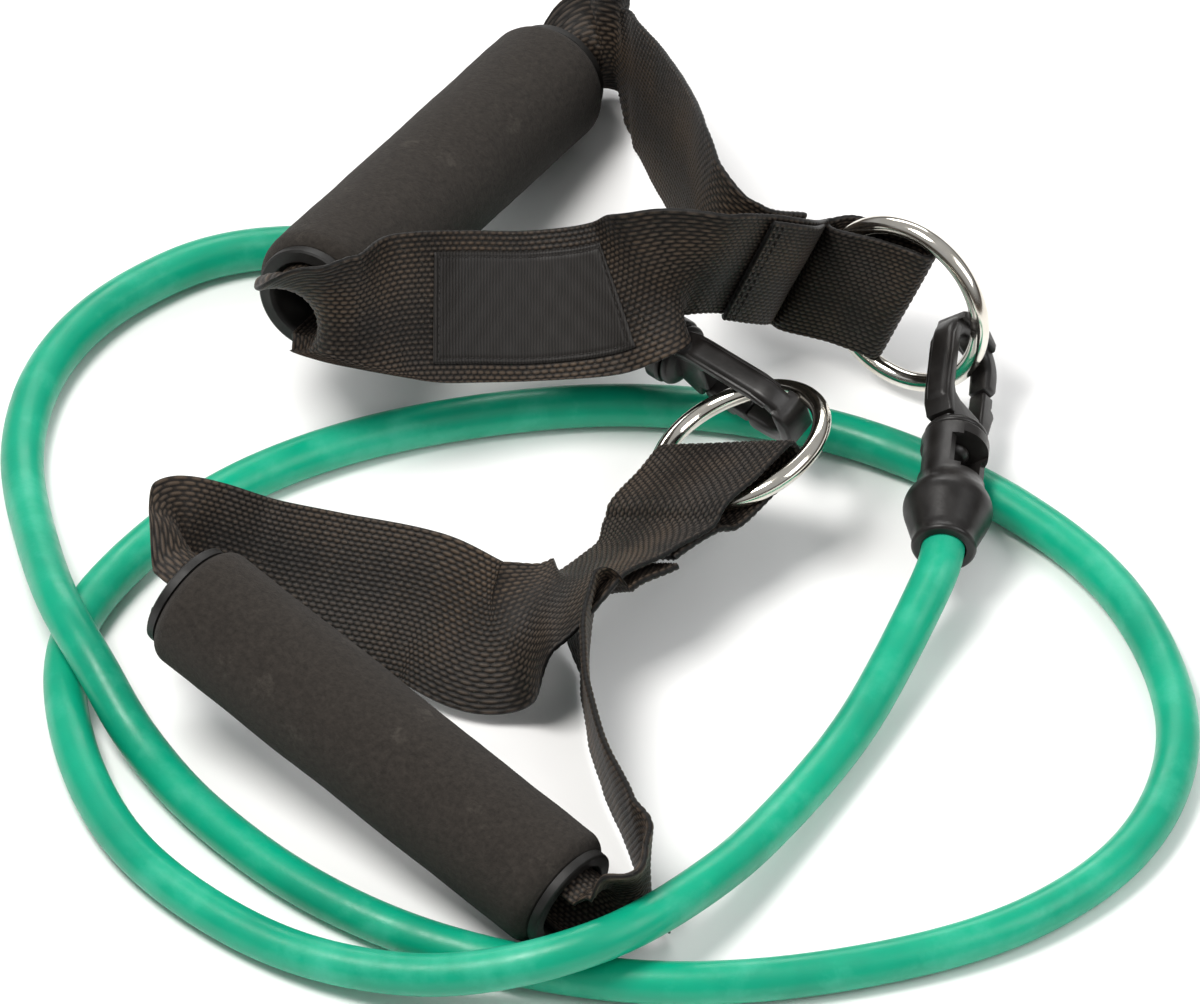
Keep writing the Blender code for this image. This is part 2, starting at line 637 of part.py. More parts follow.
def strap_b_stations():
    normal = RING_B_NORMAL.normalized()
    width = Vector((0.884, -0.25, 0.394))
    width = (width - normal * width.dot(normal)).normalized()
    outward = normal.cross(width)
    sewn = [station(5, -36.5, 23, 0.25, -0.7, 0.67), station(-2.5, -45.5, 24, 0.12, -0.66, 0.74)]
    up = Vector((-0.48, 0.56, 0.67)).normalized()
    tail = lay_over(sewn[:1], up, -1)
    fold = fold_stations(RING_B_CENTRE, normal, width, outward, -9, 14)
    left_leg = [
        station(-9.5, -58, 23, 0.05, -0.97, 0.2), station(-23, -62.5, 16.5, 0, -0.75, -0.66),
        station(-43, -55.5, 19.5, 0, -0.707, -0.707), station(-66, -50, 20.5, 0, -0.707, -0.707),
        station(-83, -48.5, 24, 0, -0.65, -0.76), station(-94.5, -49.3, 30, 0, -0.5, -0.86),
        station(-100.8, -53.3, 36, 0, -0.3, -0.95, -40),
        station(-99.7, -58.3, 39.6, -0.1, -0.1, -0.98, -160),
    ]
    bore = bore_stations(GRIP_B_FAR, GRIP_B_NEAR, Vector((0.65, 0.745, 0)), -1)
    right_leg = [
        station(4.7, -150.2, 15.6, -0.1, 0.1, -0.99, -190), station(8.6, -150.8, 17.2, -0.05, 0, -1, -70),
        station(11.3, -146, 19, 0, 0, -1, -10), station(8.3, -136, 19.4, 0, 0, -1),
        station(1.5, -118, 19.8, 0, 0, -1), station(-1, -100, 20, 0, 0, -1),
        station(-1.5, -82, 20, 0, 0, -1), station(1.5, -63, 20, 0, 0.15, -0.98),
    ]
    end = [(point, -width_, curl) for point, width_, curl in lay_over(sewn[::-1], up, -2)]
    return tail + fold + sewn + left_leg + bore + right_leg + end


def build_strap(name, stations, parts, material):
    sections = ribbon_sections([(point * MM, width, curl) for point, width, curl in stations])
    half = WEB_THICK / 2
    mesh = ribbon_mesh(name, sections, -WEB_WIDTH / 2, WEB_WIDTH / 2, -half, half)
    add_object(name, mesh, parts, material)
    return sections


def build_label(sections, parts, material):
    """The blank patch sewn on the front of strap A's near leg."""
    low, high = LABEL_SPAN
    patch = [section for section in sections if low < section[0].x < high and section[1].x > 0.7]
    face = WEB_THICK / 2 + GAP
    mesh = ribbon_mesh("label_patch", patch, -LABEL_WIDTH / 2, LABEL_WIDTH / 2, face, face + LABEL_THICK, 4)
    add_object("label_patch", mesh, parts, material)


def move_to_frame(parts):
    """Brings the bottom centre of the band's bounding box to the world origin."""
    for obj in parts.objects:
        obj.location += FRAME_SHIFT * MM


def main():
    clear_scene()
    parts = make_collection("resistance_band")
    cutters = make_collection("cutters", hidden=True)
    materials = {name: make_material(name) for name in COLOURS}
    build_tube(parts, materials["latex_green"])
    ends = (("a", HOOK_A_BASE, HOOK_A_TIP, HOOK_A_NORMAL), ("b", HOOK_B_BASE, HOOK_B_TIP, HOOK_B_NORMAL))
    for letter, base, tip, normal in ends:
        axis = end_axis(base, tip)
        mouth = base * MM - axis * FERRULE_LENGTH
        ferrule_frame = frame_on_axis(mouth, axis, normal)
        hook_frame = frame_on_axis(base * MM, axis, normal)
        build_ferrule("end_ferrule_" + letter, ferrule_frame, parts, cutters, materials["moulded_black"])
        build_plug("tube_plug_" + letter, ferrule_frame, parts, materials["plug_plastic"])
        build_hook("snap_hook_" + letter, hook_frame, parts, cutters, materials["moulded_black"])
        build_gate("hook_gate_" + letter, hook_frame, parts, materials["moulded_black"])
    build_ring("steel_ring_a", RING_A_CENTRE, RING_A_NORMAL, parts, materials["ring_chrome"])
    build_ring("steel_ring_b", RING_B_CENTRE, RING_B_NORMAL, parts, materials["ring_chrome"])
    build_grip("a", GRIP_A_NEAR, GRIP_A_FAR, parts, materials)
    build_grip("b", GRIP_B_NEAR, GRIP_B_FAR, parts, materials)
    sections = build_strap("webbing_strap_a", strap_a_stations(), parts, materials["webbing_black"])
    build_label(sections, parts, materials["label_satin"])
    build_strap("webbing_strap_b", strap_b_stations(), parts, materials["webbing_black"])
    move_to_frame(parts)


main()
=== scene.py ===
"""The looks of the tubular resistance band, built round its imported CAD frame. Lengths in metres."""

import json
import math

import bmesh
import bpy
import numpy as np
from mathutils import Matrix, Vector, noise

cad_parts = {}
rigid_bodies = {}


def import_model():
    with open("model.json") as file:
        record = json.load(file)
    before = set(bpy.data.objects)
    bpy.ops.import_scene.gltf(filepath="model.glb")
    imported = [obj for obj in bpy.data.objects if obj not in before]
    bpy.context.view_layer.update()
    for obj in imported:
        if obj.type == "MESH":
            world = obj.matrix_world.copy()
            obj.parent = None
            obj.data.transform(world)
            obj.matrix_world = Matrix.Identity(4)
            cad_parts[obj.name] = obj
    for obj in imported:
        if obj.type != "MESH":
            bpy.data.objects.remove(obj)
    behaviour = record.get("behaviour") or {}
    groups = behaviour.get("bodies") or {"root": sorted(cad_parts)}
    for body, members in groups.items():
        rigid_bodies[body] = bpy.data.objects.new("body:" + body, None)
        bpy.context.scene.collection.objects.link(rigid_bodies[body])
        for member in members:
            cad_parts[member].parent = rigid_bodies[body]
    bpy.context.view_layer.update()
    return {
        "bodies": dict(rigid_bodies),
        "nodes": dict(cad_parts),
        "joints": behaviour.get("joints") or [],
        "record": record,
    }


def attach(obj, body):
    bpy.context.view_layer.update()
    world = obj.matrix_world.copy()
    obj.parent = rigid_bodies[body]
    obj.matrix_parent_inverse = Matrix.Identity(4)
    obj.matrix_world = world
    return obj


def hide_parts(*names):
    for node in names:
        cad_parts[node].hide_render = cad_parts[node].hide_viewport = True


MM = 0.001
SHIFT = Vector((0.3, 15.4, -0.18))

TUBE_R = 5.25 * MM
TUBE_BORE_R = 2.85
TUBE_SIDES = 40
TUBE_INSERT = 15
TUBE_LEAD = 5
FERRULE_LENGTH = 36 * MM
REST_Z = 5.5
WEB_WIDTH = 37.4
WEB_THICK = 1.7
LAYER_PITCH = 2.1
FOLD_R = 3.6
POCKET_DEPTH = 26.5
FOLD_OFFSET = -3.3
CURL_R = 8.3
SPLITS = 48
SHEET_STEP = 0.3
SHEET_COLUMNS = 120
WEAVE_ACROSS = 1.25
WEAVE_ALONG = 1.9
WEAVE_DEPTH = 0.5
LABEL_HALF = 13.6
LABEL_SEAM = 1.4
GRIP_LENGTH = 126 * MM
RING_R = 21.3 * MM
RING_WIRE_R = 2.3 * MM
HOOK_LENGTH = 38 * MM
HOOK_HALF = 10.6 * MM
HOOK_BAR = 4.8 * MM
EYE_BOTTOM = 10.5 * MM
NOSE_END = 22 * MM

HOOK_A_BASE = Vector((85.8, 0.4, 20.1))
HOOK_A_TIP = Vector((89.1, 38.4, 21.0))
HOOK_A_NORMAL = Vector((-0.83, 0.086, -0.55))
HOOK_B_BASE = Vector((18.8, 26.7, 24.4))
HOOK_B_TIP = Vector((46.8, 3.6, 23.4))
HOOK_B_NORMAL = Vector((0.61, 0.73, 0.29))
RING_A_CENTRE = Vector((73.7, 40.0, 27.8))
RING_A_NORMAL = Vector((-0.53, -0.83, 0.19))
RING_B_CENTRE = Vector((33.7, -7.05, 25.9))
RING_B_NORMAL = Vector((-0.37, 0.14, 0.92))
GRIP_A_NEAR = Vector((-70.6, 24.2, 44.6))
GRIP_A_FAR = Vector((-10.8, 131.2, 16.3))
GRIP_B_NEAR = Vector((-6.5, -151.5, 16.6))
GRIP_B_FAR = Vector((-100.0, -69.9, 39.2))

TUBE_WAYPOINTS = [
    (-25, 66, 14.4), (-42, 76.6, 7.8), (-60, 81.5, REST_Z), (-79.5, 82, REST_Z), (-96.4, 77.9, REST_Z),
    (-110.1, 69.4, REST_Z), (-120.7, 60.2, REST_Z), (-129.6, 48.3, REST_Z), (-136.4, 32.9, REST_Z),
    (-139.8, 12, REST_Z), (-138.8, -3.9, 6.5), (-136.9, -17, 9), (-133, -39.1, 14.2), (-128.7, -55.2, 16.8),
    (-120.5, -70.9, 13.5), (-114.7, -81.8, 9), (-107.7, -92.6, 6), (-95.9, -109.9, REST_Z),
    (-70.1, -136.1, REST_Z), (-36.1, -156.2, REST_Z), (12, -167.8, REST_Z), (60.2, -163, REST_Z),
    (102.4, -146.7, REST_Z), (129.2, -120.1, REST_Z), (139, -83.6, REST_Z), (126.3, -38.6, REST_Z),
    (101.7, -9, REST_Z), (63.1, 15.9, REST_Z), (24.1, 26.4, REST_Z), (-11.1, 26.8, REST_Z),
    (-60.7, 14.9, REST_Z), (-96.4, -6.6, REST_Z), (-122.9, -40, REST_Z), (-128.7, -60.8, REST_Z),
    (-124.1, -96.6, REST_Z), (-109.4, -127.2, REST_Z), (-76.1, -156.6, 6), (-43.4, -169.8, 10),
    (-19.3, -172.3, 16), (0, -167.7, 19.4), (9.6, -161.2, 19), (23.6, -145.4, 15.2), (36.4, -127.2, 11),
    (60, -87, 8), (73.5, -58, 12), (79.8, -44.5, 16.8),
]


# ---------------------------------------------------------------- materials

def node_material(name, metallic=0.0):
    material = bpy.data.materials.new(name)
    material.use_nodes = True
    tree = material.node_tree
    shader = tree.nodes["Principled BSDF"]
    shader.inputs["Metallic"].default_value = metallic
    return material, tree, shader


def object_noise(tree, scale, detail=4.0, rough=0.55):
    source = tree.nodes.new("ShaderNodeTexCoord")
    texture = tree.nodes.new("ShaderNodeTexNoise")
    texture.inputs["Scale"].default_value = scale
    texture.inputs["Detail"].default_value = detail
    texture.inputs["Roughness"].default_value = rough
    tree.links.new(source.outputs["Object"], texture.inputs["Vector"])
    return texture.outputs["Fac"]


def ramp(tree, fac, stops):
    node = tree.nodes.new("ShaderNodeValToRGB")
    elements = node.color_ramp.elements
    while len(elements) < len(stops):
        elements.new(0.5)
    for element, (place, colour) in zip(elements, stops):
        element.position = place
        element.color = (*colour, 1)
    tree.links.new(fac, node.inputs["Fac"])
    return node.outputs["Color"]


def mix(tree, fac, first, second, blend="MIX"):
    node = tree.nodes.new("ShaderNodeMix")
    node.data_type = "RGBA"
    node.blend_type = blend
    for socket, value in ((node.inputs[0], fac), (node.inputs[6], first), (node.inputs[7], second)):
        if hasattr(value, "links"):
            tree.links.new(value, socket)
        elif isinstance(value, (int, float)):
            socket.default_value = value
        else:
            socket.default_value = (*value, 1)
    return node.outputs[2]


def math_node(tree, operation, first, second=0.0):
    node = tree.nodes.new("ShaderNodeMath")
    node.operation = operation
    for socket, value in ((node.inputs[0], first), (node.inputs[1], second)):
        if hasattr(value, "links"):
            tree.links.new(value, socket)
        else:
            socket.default_value = value
    return node.outputs[0]


def bump(tree, shader, height, strength, distance):
    node = tree.nodes.new("ShaderNodeBump")
    node.inputs["Strength"].default_value = strength
    node.inputs["Distance"].default_value = distance
    tree.links.new(height, node.inputs["Height"])
    tree.links.new(node.outputs["Normal"], shader.inputs["Normal"])


def latex_material():
    material, tree, shader = node_material("latex_green_fine")
    clean = (0.0, 0.35, 0.2)
    deep = (0.0, 0.27, 0.155)
    # A pale tint used both for real dust patches and for the painted sheen at the tube's rims.
    dust_and_sheen_tint = (0.07, 0.46, 0.31)
    broad = ramp(tree, object_noise(tree, 28, 3), [(0.35, deep), (0.6, clean)])
    dust = ramp(tree, object_noise(tree, 55, 6, 0.62), [(0.5, (0, 0, 0)), (0.72, (1, 1, 1))])
    dust_amount = math_node(tree, "MULTIPLY", dust, 0.55)
    colour = mix(tree, dust_amount, broad, dust_and_sheen_tint)
    # Painted sheen: the tube's colour is lightened towards its silhouette edges, by the view angle, with the
    # dust and sheen tint.
    layer = tree.nodes.new("ShaderNodeLayerWeight")
    layer.inputs["Blend"].default_value = 0.25
    rim = math_node(tree, "MULTIPLY", layer.outputs["Facing"], 0.12)
    colour = mix(tree, rim, colour, dust_and_sheen_tint)
    tree.links.new(colour, shader.inputs["Base Color"])
    rough = ramp(tree, object_noise(tree, 160, 4), [(0.3, (0.28, 0.28, 0.28)), (0.75, (0.5, 0.5, 0.5))])
    tree.links.new(rough, shader.inputs["Roughness"])
    shader.inputs["Specular IOR Level"].default_value = 0.35
    shader.inputs["Subsurface Weight"].default_value = 0.12
    shader.inputs["Subsurface Radius"].default_value = (0.001, 0.004, 0.002)
    bump(tree, shader, object_noise(tree, 900, 3), 0.12, 0.0003)
    return material


def foam_material():
    material, tree, shader = node_material("foam_fine")
    grain = object_noise(tree, 700, 8, 0.7)
    base = ramp(tree, grain, [(0.3, (0.017, 0.0145, 0.0125)), (0.75, (0.04, 0.034, 0.029))])
    scuffs = ramp(tree, object_noise(tree, 60, 6, 0.75), [(0.6, (0, 0, 0)), (0.8, (1, 1, 1))])
    amount = math_node(tree, "MULTIPLY", scuffs, 0.4)
    colour = mix(tree, amount, base, (0.14, 0.125, 0.105))
    tree.links.new(colour, shader.inputs["Base Color"])
    shader.inputs["Roughness"].default_value = 0.9
    shader.inputs["Specular IOR Level"].default_value = 0.12
    shader.inputs["Sheen Weight"].default_value = 0.04
    shader.inputs["Sheen Roughness"].default_value = 0.6
    bump(tree, shader, object_noise(tree, 1400, 6, 0.7), 0.6, 0.0006)
    return material


def plastic_material(name, colour, rough_low, rough_high):
    material, tree, shader = node_material(name)
    paler = tuple(min(1, channel * 1.9 + 0.01) for channel in colour)
    tone = ramp(tree, object_noise(tree, 120, 5), [(0.4, colour), (0.85, paler)])
    tree.links.new(tone, shader.inputs["Base Color"])
    rough = ramp(tree, object_noise(tree, 260, 5), [(0.3, (rough_low,) * 3), (0.75, (rough_high,) * 3)])
    tree.links.new(rough, shader.inputs["Roughness"])
    shader.inputs["Specular IOR Level"].default_value = 0.35
    bump(tree, shader, object_noise(tree, 1500, 3), 0.12, 0.0002)
    return material


def chrome_material():
    material, tree, shader = node_material("ring_chrome_fine", 1.0)
    tone = ramp(tree, object_noise(tree, 90, 5), [(0.3, (0.62, 0.58, 0.5)), (0.7, (0.83, 0.81, 0.76))])
    tree.links.new(tone, shader.inputs["Base Color"])
    rough = ramp(tree, object_noise(tree, 400, 5), [(0.35, (0.07, 0.07, 0.07)), (0.8, (0.2, 0.2, 0.2))])
    tree.links.new(rough, shader.inputs["Roughness"])
    return material


def webbing_material():
    """Threads coloured from the weave's own relief, kept in the mesh as an attribute: painted shade between
    the threads and painted highlights on their crowns.
    """
    material, tree, shader = node_material("webbing_fine")
    relief = tree.nodes.new("ShaderNodeAttribute")
    relief.attribute_name = "relief"
    # Painted shade and highlight: near black where the weave dips between threads, lighter on the thread
    # crowns.
    painted_weave_shade_tones = [(0.25, (0.001, 0.0009, 0.0008)), (0.6, (0.014, 0.011, 0.0085)), (0.95, (0.06, 0.047, 0.036))]
    thread = ramp(tree, relief.outputs["Fac"], painted_weave_shade_tones)
    patches = ramp(tree, object_noise(tree, 45, 4), [(0.35, (0.75, 0.78, 0.85)), (0.7, (1.35, 1.18, 1.0))])
    colour = mix(tree, 1.0, thread, patches, "MULTIPLY")
    specks = ramp(tree, object_noise(tree, 1500, 2), [(0.62, (0, 0, 0)), (0.75, (1, 1, 1))])
    amount = math_node(tree, "MULTIPLY", specks, 0.16)
    colour = mix(tree, amount, colour, (0.2, 0.18, 0.15))
    tree.links.new(colour, shader.inputs["Base Color"])
    shader.inputs["Roughness"].default_value = 0.5
    shader.inputs["Specular IOR Level"].default_value = 0.22
    shader.inputs["Sheen Weight"].default_value = 0.04
    shader.inputs["Sheen Roughness"].default_value = 0.45
    bump(tree, shader, object_noise(tree, 2600, 4), 0.35, 0.0004)
    return material


def satin_material():
    material, tree, shader = node_material("label_fine")
    source = tree.nodes.new("ShaderNodeTexCoord")
    waves = tree.nodes.new("ShaderNodeTexWave")
    waves.inputs["Scale"].default_value = 420
    waves.inputs["Distortion"].default_value = 1.5
    tree.links.new(source.outputs["Object"], waves.inputs["Vector"])
    tone = ramp(tree, waves.outputs["Fac"], [(0.2, (0.009, 0.008, 0.0072)), (0.9, (0.022, 0.019, 0.017))])
    tree.links.new(tone, shader.inputs["Base Color"])
    shader.inputs["Roughness"].default_value = 0.5
    shader.inputs["Specular IOR Level"].default_value = 0.25
    bump(tree, shader, waves.outputs["Fac"], 0.25, 0.0002)
    return material


# ---------------------------------------------------------------- mesh helpers

def grid_object(name, points, closed_across, cap_ends, material):
    """A mesh from a numpy grid of points, rows along its length. Rows close on themselves if closed_across."""
    rows, columns = points.shape[:2]
    index = np.arange(rows * columns).reshape(rows, columns)
    if closed_across:
        index = np.concatenate([index, index[:, :1]], axis=1)
    quads = np.stack([index[:-1, :-1], index[:-1, 1:], index[1:, 1:], index[1:, :-1]], -1).reshape(-1, 4)
    mesh = bpy.data.meshes.new(name)
    faces = quads.tolist()
    if cap_ends:
        faces.append(list(range(columns))[::-1])
        faces.append([(rows - 1) * columns + i for i in range(columns)])
    mesh.from_pydata(points.reshape(-1, 3).tolist(), [], faces)
    mesh.update()
    mesh.shade_smooth()
    obj = bpy.data.objects.new(name, mesh)
    bpy.context.collection.objects.link(obj)
    mesh.materials.append(material)
    return obj


def add_object(name, mesh, material=None, frame=None):
    obj = bpy.data.objects.new(name, mesh)
    bpy.context.collection.objects.link(obj)
    if material:
        mesh.materials.clear()
        mesh.materials.append(material)
    if frame:
        obj.matrix_world = frame
    return obj


def frame_on_axis(origin, axis, side):
    z = axis.normalized()
    y = (side - z * side.dot(z)).normalized()
    x = y.cross(z)
    rotation = Matrix((x, y, z)).transposed().to_4x4()
    return Matrix.Translation(origin + SHIFT * MM) @ rotation


def realise(obj, angle=35):
    bpy.context.view_layer.update()
    graph = bpy.context.evaluated_depsgraph_get()
    mesh = bpy.data.meshes.new_from_object(obj.evaluated_get(graph))
    cutters = [modifier.object for modifier in obj.modifiers if modifier.type == "BOOLEAN"]
    obj.modifiers.clear()
    obj.data = mesh
    for cutter in cutters:
        bpy.data.objects.remove(cutter, do_unlink=True)
    mesh.shade_smooth()
    mesh.set_sharp_from_angle(angle=math.radians(angle))
    return mesh


def rounded(profile, radius, steps=4):
    """The outline with each inner corner rounded, for (r, z) profiles whose ends stay put."""
    result = [profile[0]]
    for before, corner, after in zip(profile, profile[1:], profile[2:]):
        a, b, c = Vector(before), Vector(corner), Vector(after)
        reach = min(radius, (a - b).length * 0.45, (c - b).length * 0.45)
        start = b + (a - b).normalized() * reach
        end = b + (c - b).normalized() * reach
        for i in range(steps + 1):
            t = i / steps
            result.append(tuple(start * (1 - t) ** 2 + b * (2 * t * (1 - t)) + end * t ** 2))
    result.append(profile[-1])
    return result


def turned_mesh(name, profile, steps):
    """The (r, z) profile turned about Z. One that stays clear of the axis is closed on itself."""
    mesh = bpy.data.meshes.new(name)
    bm = bmesh.new()
    points = [bm.verts.new((radius, 0, height)) for radius, height in profile]
    for start, end in zip(points, points[1:]):
        bm.edges.new((start, end))
    if profile[0][0] > 1e-7 and profile[-1][0] > 1e-7:
        bm.edges.new((points[-1], points[0]))
    bm.to_mesh(mesh)
    bm.free()
    obj = add_object(name, mesh)
    screw = obj.modifiers.new("turn", "SCREW")
    screw.axis = "Z"
    screw.angle = 2 * math.pi
    screw.steps = screw.render_steps = steps
    screw.use_merge_vertices = True
    screw.merge_threshold = 0.01 * MM
    result = realise(obj)
    bpy.data.objects.remove(obj, do_unlink=True)
    return result


def box_mesh(name, low, high):
    bm = bmesh.new()
    bmesh.ops.create_cube(bm, size=1)
    size = Vector(high) - Vector(low)
    middle = (Vector(high) + Vector(low)) / 2
    bmesh.ops.transform(bm, matrix=Matrix.Translation(middle) @ Matrix.Diagonal((*size, 1)), verts=bm.verts)
    mesh = bpy.data.meshes.new(name)
    bm.to_mesh(mesh)
    bm.free()
    return mesh


def rod_mesh(name, radius, low, high, sides=48):
    bm = bmesh.new()
    bmesh.ops.create_cone(bm, cap_ends=True, segments=sides, radius1=radius, radius2=radius, depth=high - low)
    bmesh.ops.translate(bm, vec=(0, 0, (high + low) / 2), verts=bm.verts)
    mesh = bpy.data.meshes.new(name)
    bm.to_mesh(mesh)
    bm.free()
    return mesh


def cut(obj, cutter, operation="DIFFERENCE"):
    modifier = obj.modifiers.new(cutter.name, "BOOLEAN")
    modifier.operation = operation
    modifier.solver = "EXACT"
    modifier.object = cutter


def soften(obj, width, segments, angle):
    bevel = obj.modifiers.new("soft_edges", "BEVEL")
    bevel.width = width
    bevel.segments = segments
    bevel.limit_method = "ANGLE"
    bevel.angle_limit = math.radians(angle)
    bevel.harden_normals = False
    realise(obj, 50)


# ---------------------------------------------------------------- paths

def catmull_rom(points, knots, t):
    p0, p1, p2, p3 = points
    t0, t1, t2, t3 = knots
    a1 = p0 * ((t1 - t) / (t1 - t0)) + p1 * ((t - t0) / (t1 - t0))
    a2 = p1 * ((t2 - t) / (t2 - t1)) + p2 * ((t - t1) / (t2 - t1))
    a3 = p2 * ((t3 - t) / (t3 - t2)) + p3 * ((t - t2) / (t3 - t2))
    b1 = a1 * ((t2 - t) / (t2 - t0)) + a2 * ((t - t0) / (t2 - t0))
    b2 = a2 * ((t3 - t) / (t3 - t1)) + a3 * ((t - t1) / (t3 - t1))
    return b1 * ((t2 - t) / (t2 - t1)) + b2 * ((t - t1) / (t2 - t1))


def dense_path(points):
    ends = [points[0] * 2 - points[1]] + points + [points[-1] * 2 - points[-2]]
    dense = []
    for before, start, end, after in zip(ends, ends[1:], ends[2:], ends[3:]):
        knots = [0.0]
        for first, second in ((before, start), (start, end), (end, after)):
            knots.append(knots[-1] + math.sqrt((second - first).length))
        for i in range(SPLITS):
            t = knots[1] + (knots[2] - knots[1]) * i / SPLITS
            dense.append(catmull_rom((before, start, end, after), knots, t))
    dense.append(points[-1])
    return dense


def even(values, lengths, step):
    """Rows of an array resampled at an even spacing of its running length."""
    count = max(2, round(lengths[-1] / step))
    marks = np.linspace(0, lengths[-1], count + 1)
    return marks, np.stack([np.interp(marks, lengths, values[:, i]) for i in range(values.shape[1])], 1)


def running_length(points):
    return np.concatenate([[0], np.cumsum(np.linalg.norm(np.diff(points, axis=0), axis=1))])


def smoothed(values, passes):
    for _ in range(passes):
        inner = (values[:-2] + 2 * values[1:-1] + values[2:]) / 4
        values = np.concatenate([values[:1], inner, values[-1:]])
    return values


def unit(rows):
    return rows / np.linalg.norm(rows, axis=-1, keepdims=True)


# ---------------------------------------------------------------- tube

def end_axis(base, tip):
    return (tip - base).normalized()


def build_tube(material):
    axis_b = end_axis(HOOK_B_BASE, HOOK_B_TIP)
    axis_a = end_axis(HOOK_A_BASE, HOOK_A_TIP)
    mouth_b = HOOK_B_BASE - axis_b * (FERRULE_LENGTH / MM)
    mouth_a = HOOK_A_BASE - axis_a * (FERRULE_LENGTH / MM)
    control = [mouth_b, mouth_b - axis_b * TUBE_LEAD] + [Vector(point) for point in TUBE_WAYPOINTS]
    control += [mouth_a - axis_a * TUBE_LEAD, mouth_a]
    path = np.array([tuple(point + SHIFT) for point in dense_path(control)])
    start = np.array(tuple(mouth_b + axis_b * TUBE_INSERT + SHIFT))[None]
    end = np.array(tuple(mouth_a + axis_a * TUBE_INSERT + SHIFT))[None]
    path = np.concatenate([start, path, end])
    _, path = even(path, running_length(path), 2.0)
    path = smoothed(path, 14)
    heading = unit(np.gradient(path, axis=0))
    side = np.zeros_like(path)
    side[0] = unit(np.cross(heading[0], (0, 0, 1)))
    for i in range(1, len(path)):
        across = side[i - 1] - heading[i] * np.dot(side[i - 1], heading[i])
        side[i] = across / np.linalg.norm(across)
    up = np.cross(side, heading)
    angle = np.linspace(0, 2 * math.pi, TUBE_SIDES, endpoint=False)
    marks = running_length(path)
    swell = 1 + 0.006 * np.sin(marks / 23.0) + 0.004 * np.sin(marks / 9.7 + 1)
    ring = side[:, None] * np.cos(angle)[None, :, None] + up[:, None] * np.sin(angle)[None, :, None]
    outer = path[:, None] + ring * (TUBE_R / MM * swell)[:, None, None]
    inner = (path[:, None] + ring * TUBE_BORE_R)[::-1]
    obj = grid_object("latex_tube_fine", np.concatenate([outer, inner]) * MM, True, False, material)
    bm = bmesh.new()
    bm.from_mesh(obj.data)
    bm.verts.ensure_lookup_table()
    count = len(path) * 2
    last = [(count - 1) * TUBE_SIDES + i for i in range(TUBE_SIDES)]
    for i in range(TUBE_SIDES):
        j = (i + 1) % TUBE_SIDES
        bm.faces.new([bm.verts[k] for k in (last[i], last[j], j, i)])
    bmesh.ops.recalc_face_normals(bm, faces=bm.faces)
    bm.to_mesh(obj.data)
    bm.free()
    obj.data.shade_smooth()
    obj.data.set_sharp_from_angle(angle=math.radians(50))
    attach(obj, "band")
    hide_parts("latex_tube")


# ---------------------------------------------------------------- ferrules and hooks

def build_ferrule(letter, frame, material):
    length = FERRULE_LENGTH
    outline = [
        (0, length), (7.9 * MM, length), (8.3 * MM, length - 0.5 * MM), (8.3 * MM, 20.2 * MM),
        (9.0 * MM, 18.0 * MM), (10.5 * MM, 15.4 * MM), (11.0 * MM, 13.2 * MM), (10.8 * MM, 11.6 * MM),
        (8.1 * MM, 3.4 * MM), (7.9 * MM, 2.0 * MM), (8.0 * MM, 0.7 * MM), (7.4 * MM, 0), (0, 0),
    ]
    name = f"end_ferrule_{letter}_fine"
    ferrule = add_object(name, turned_mesh(name, rounded(outline, 0.9 * MM), 80), material, frame)
    far = 20 * MM
    top = length - 3.5 * MM
    half = 5.3 * MM
    arm = 4.2 * MM
    shapes = [
        rod_mesh("bore", TUBE_R + 0.35 * MM, -MM, 18.2 * MM),
        rod_mesh("hole", 2.7 * MM, top - MM, length + MM, 32),
        box_mesh("window", (-half, -far, 21 * MM), (half, far, top)),
        box_mesh("left", (-far, arm, 22 * MM), (far, far, top - MM)),
        box_mesh("right", (-far, -far, 22 * MM), (far, -arm, top - MM)),
    ]
    for shape in shapes:
        cut(ferrule, add_object(shape.name, shape, frame=frame))
    realise(ferrule, 30)
    soften(ferrule, 0.35 * MM, 3, 40)
    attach(ferrule, f"ferrule_{letter}")
    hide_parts(f"end_ferrule_{letter}")


def arc(centre, radius, start, end, count):
    points = []
    for i in range(count + 1):
        angle = math.radians(start + (end - start) * i / count)
        points.append((centre[0] + radius * math.cos(angle), centre[1] + radius * math.sin(angle)))
    return points


def plate(name, outline, thick, rounding, segments):
    """The flat (x, z) outline as a plate of a thickness, its rims rounded."""
    bm = bmesh.new()
    verts = [bm.verts.new((x, -thick / 2, z)) for x, z in outline]
    side = bmesh.ops.extrude_face_region(bm, geom=[bm.faces.new(verts)])
    moved = [item for item in side["geom"] if isinstance(item, bmesh.types.BMVert)]
    bmesh.ops.translate(bm, vec=(0, thick, 0), verts=moved)
    bmesh.ops.recalc_face_normals(bm, faces=bm.faces)
    rims = [edge for edge in bm.edges if abs(edge.verts[0].co.y - edge.verts[1].co.y) < 1e-9]
    rounds = {"profile": 0.5, "affect": "EDGES", "clamp_overlap": True}
    bmesh.ops.bevel(bm, geom=rims, offset=rounding, segments=segments, **rounds)
    bmesh.ops.recalc_face_normals(bm, faces=bm.faces)
    mesh = bpy.data.meshes.new(name)
    bm.to_mesh(mesh)
    bm.free()
    mesh.shade_smooth()
    mesh.set_sharp_from_angle(angle=math.radians(50))
    return mesh


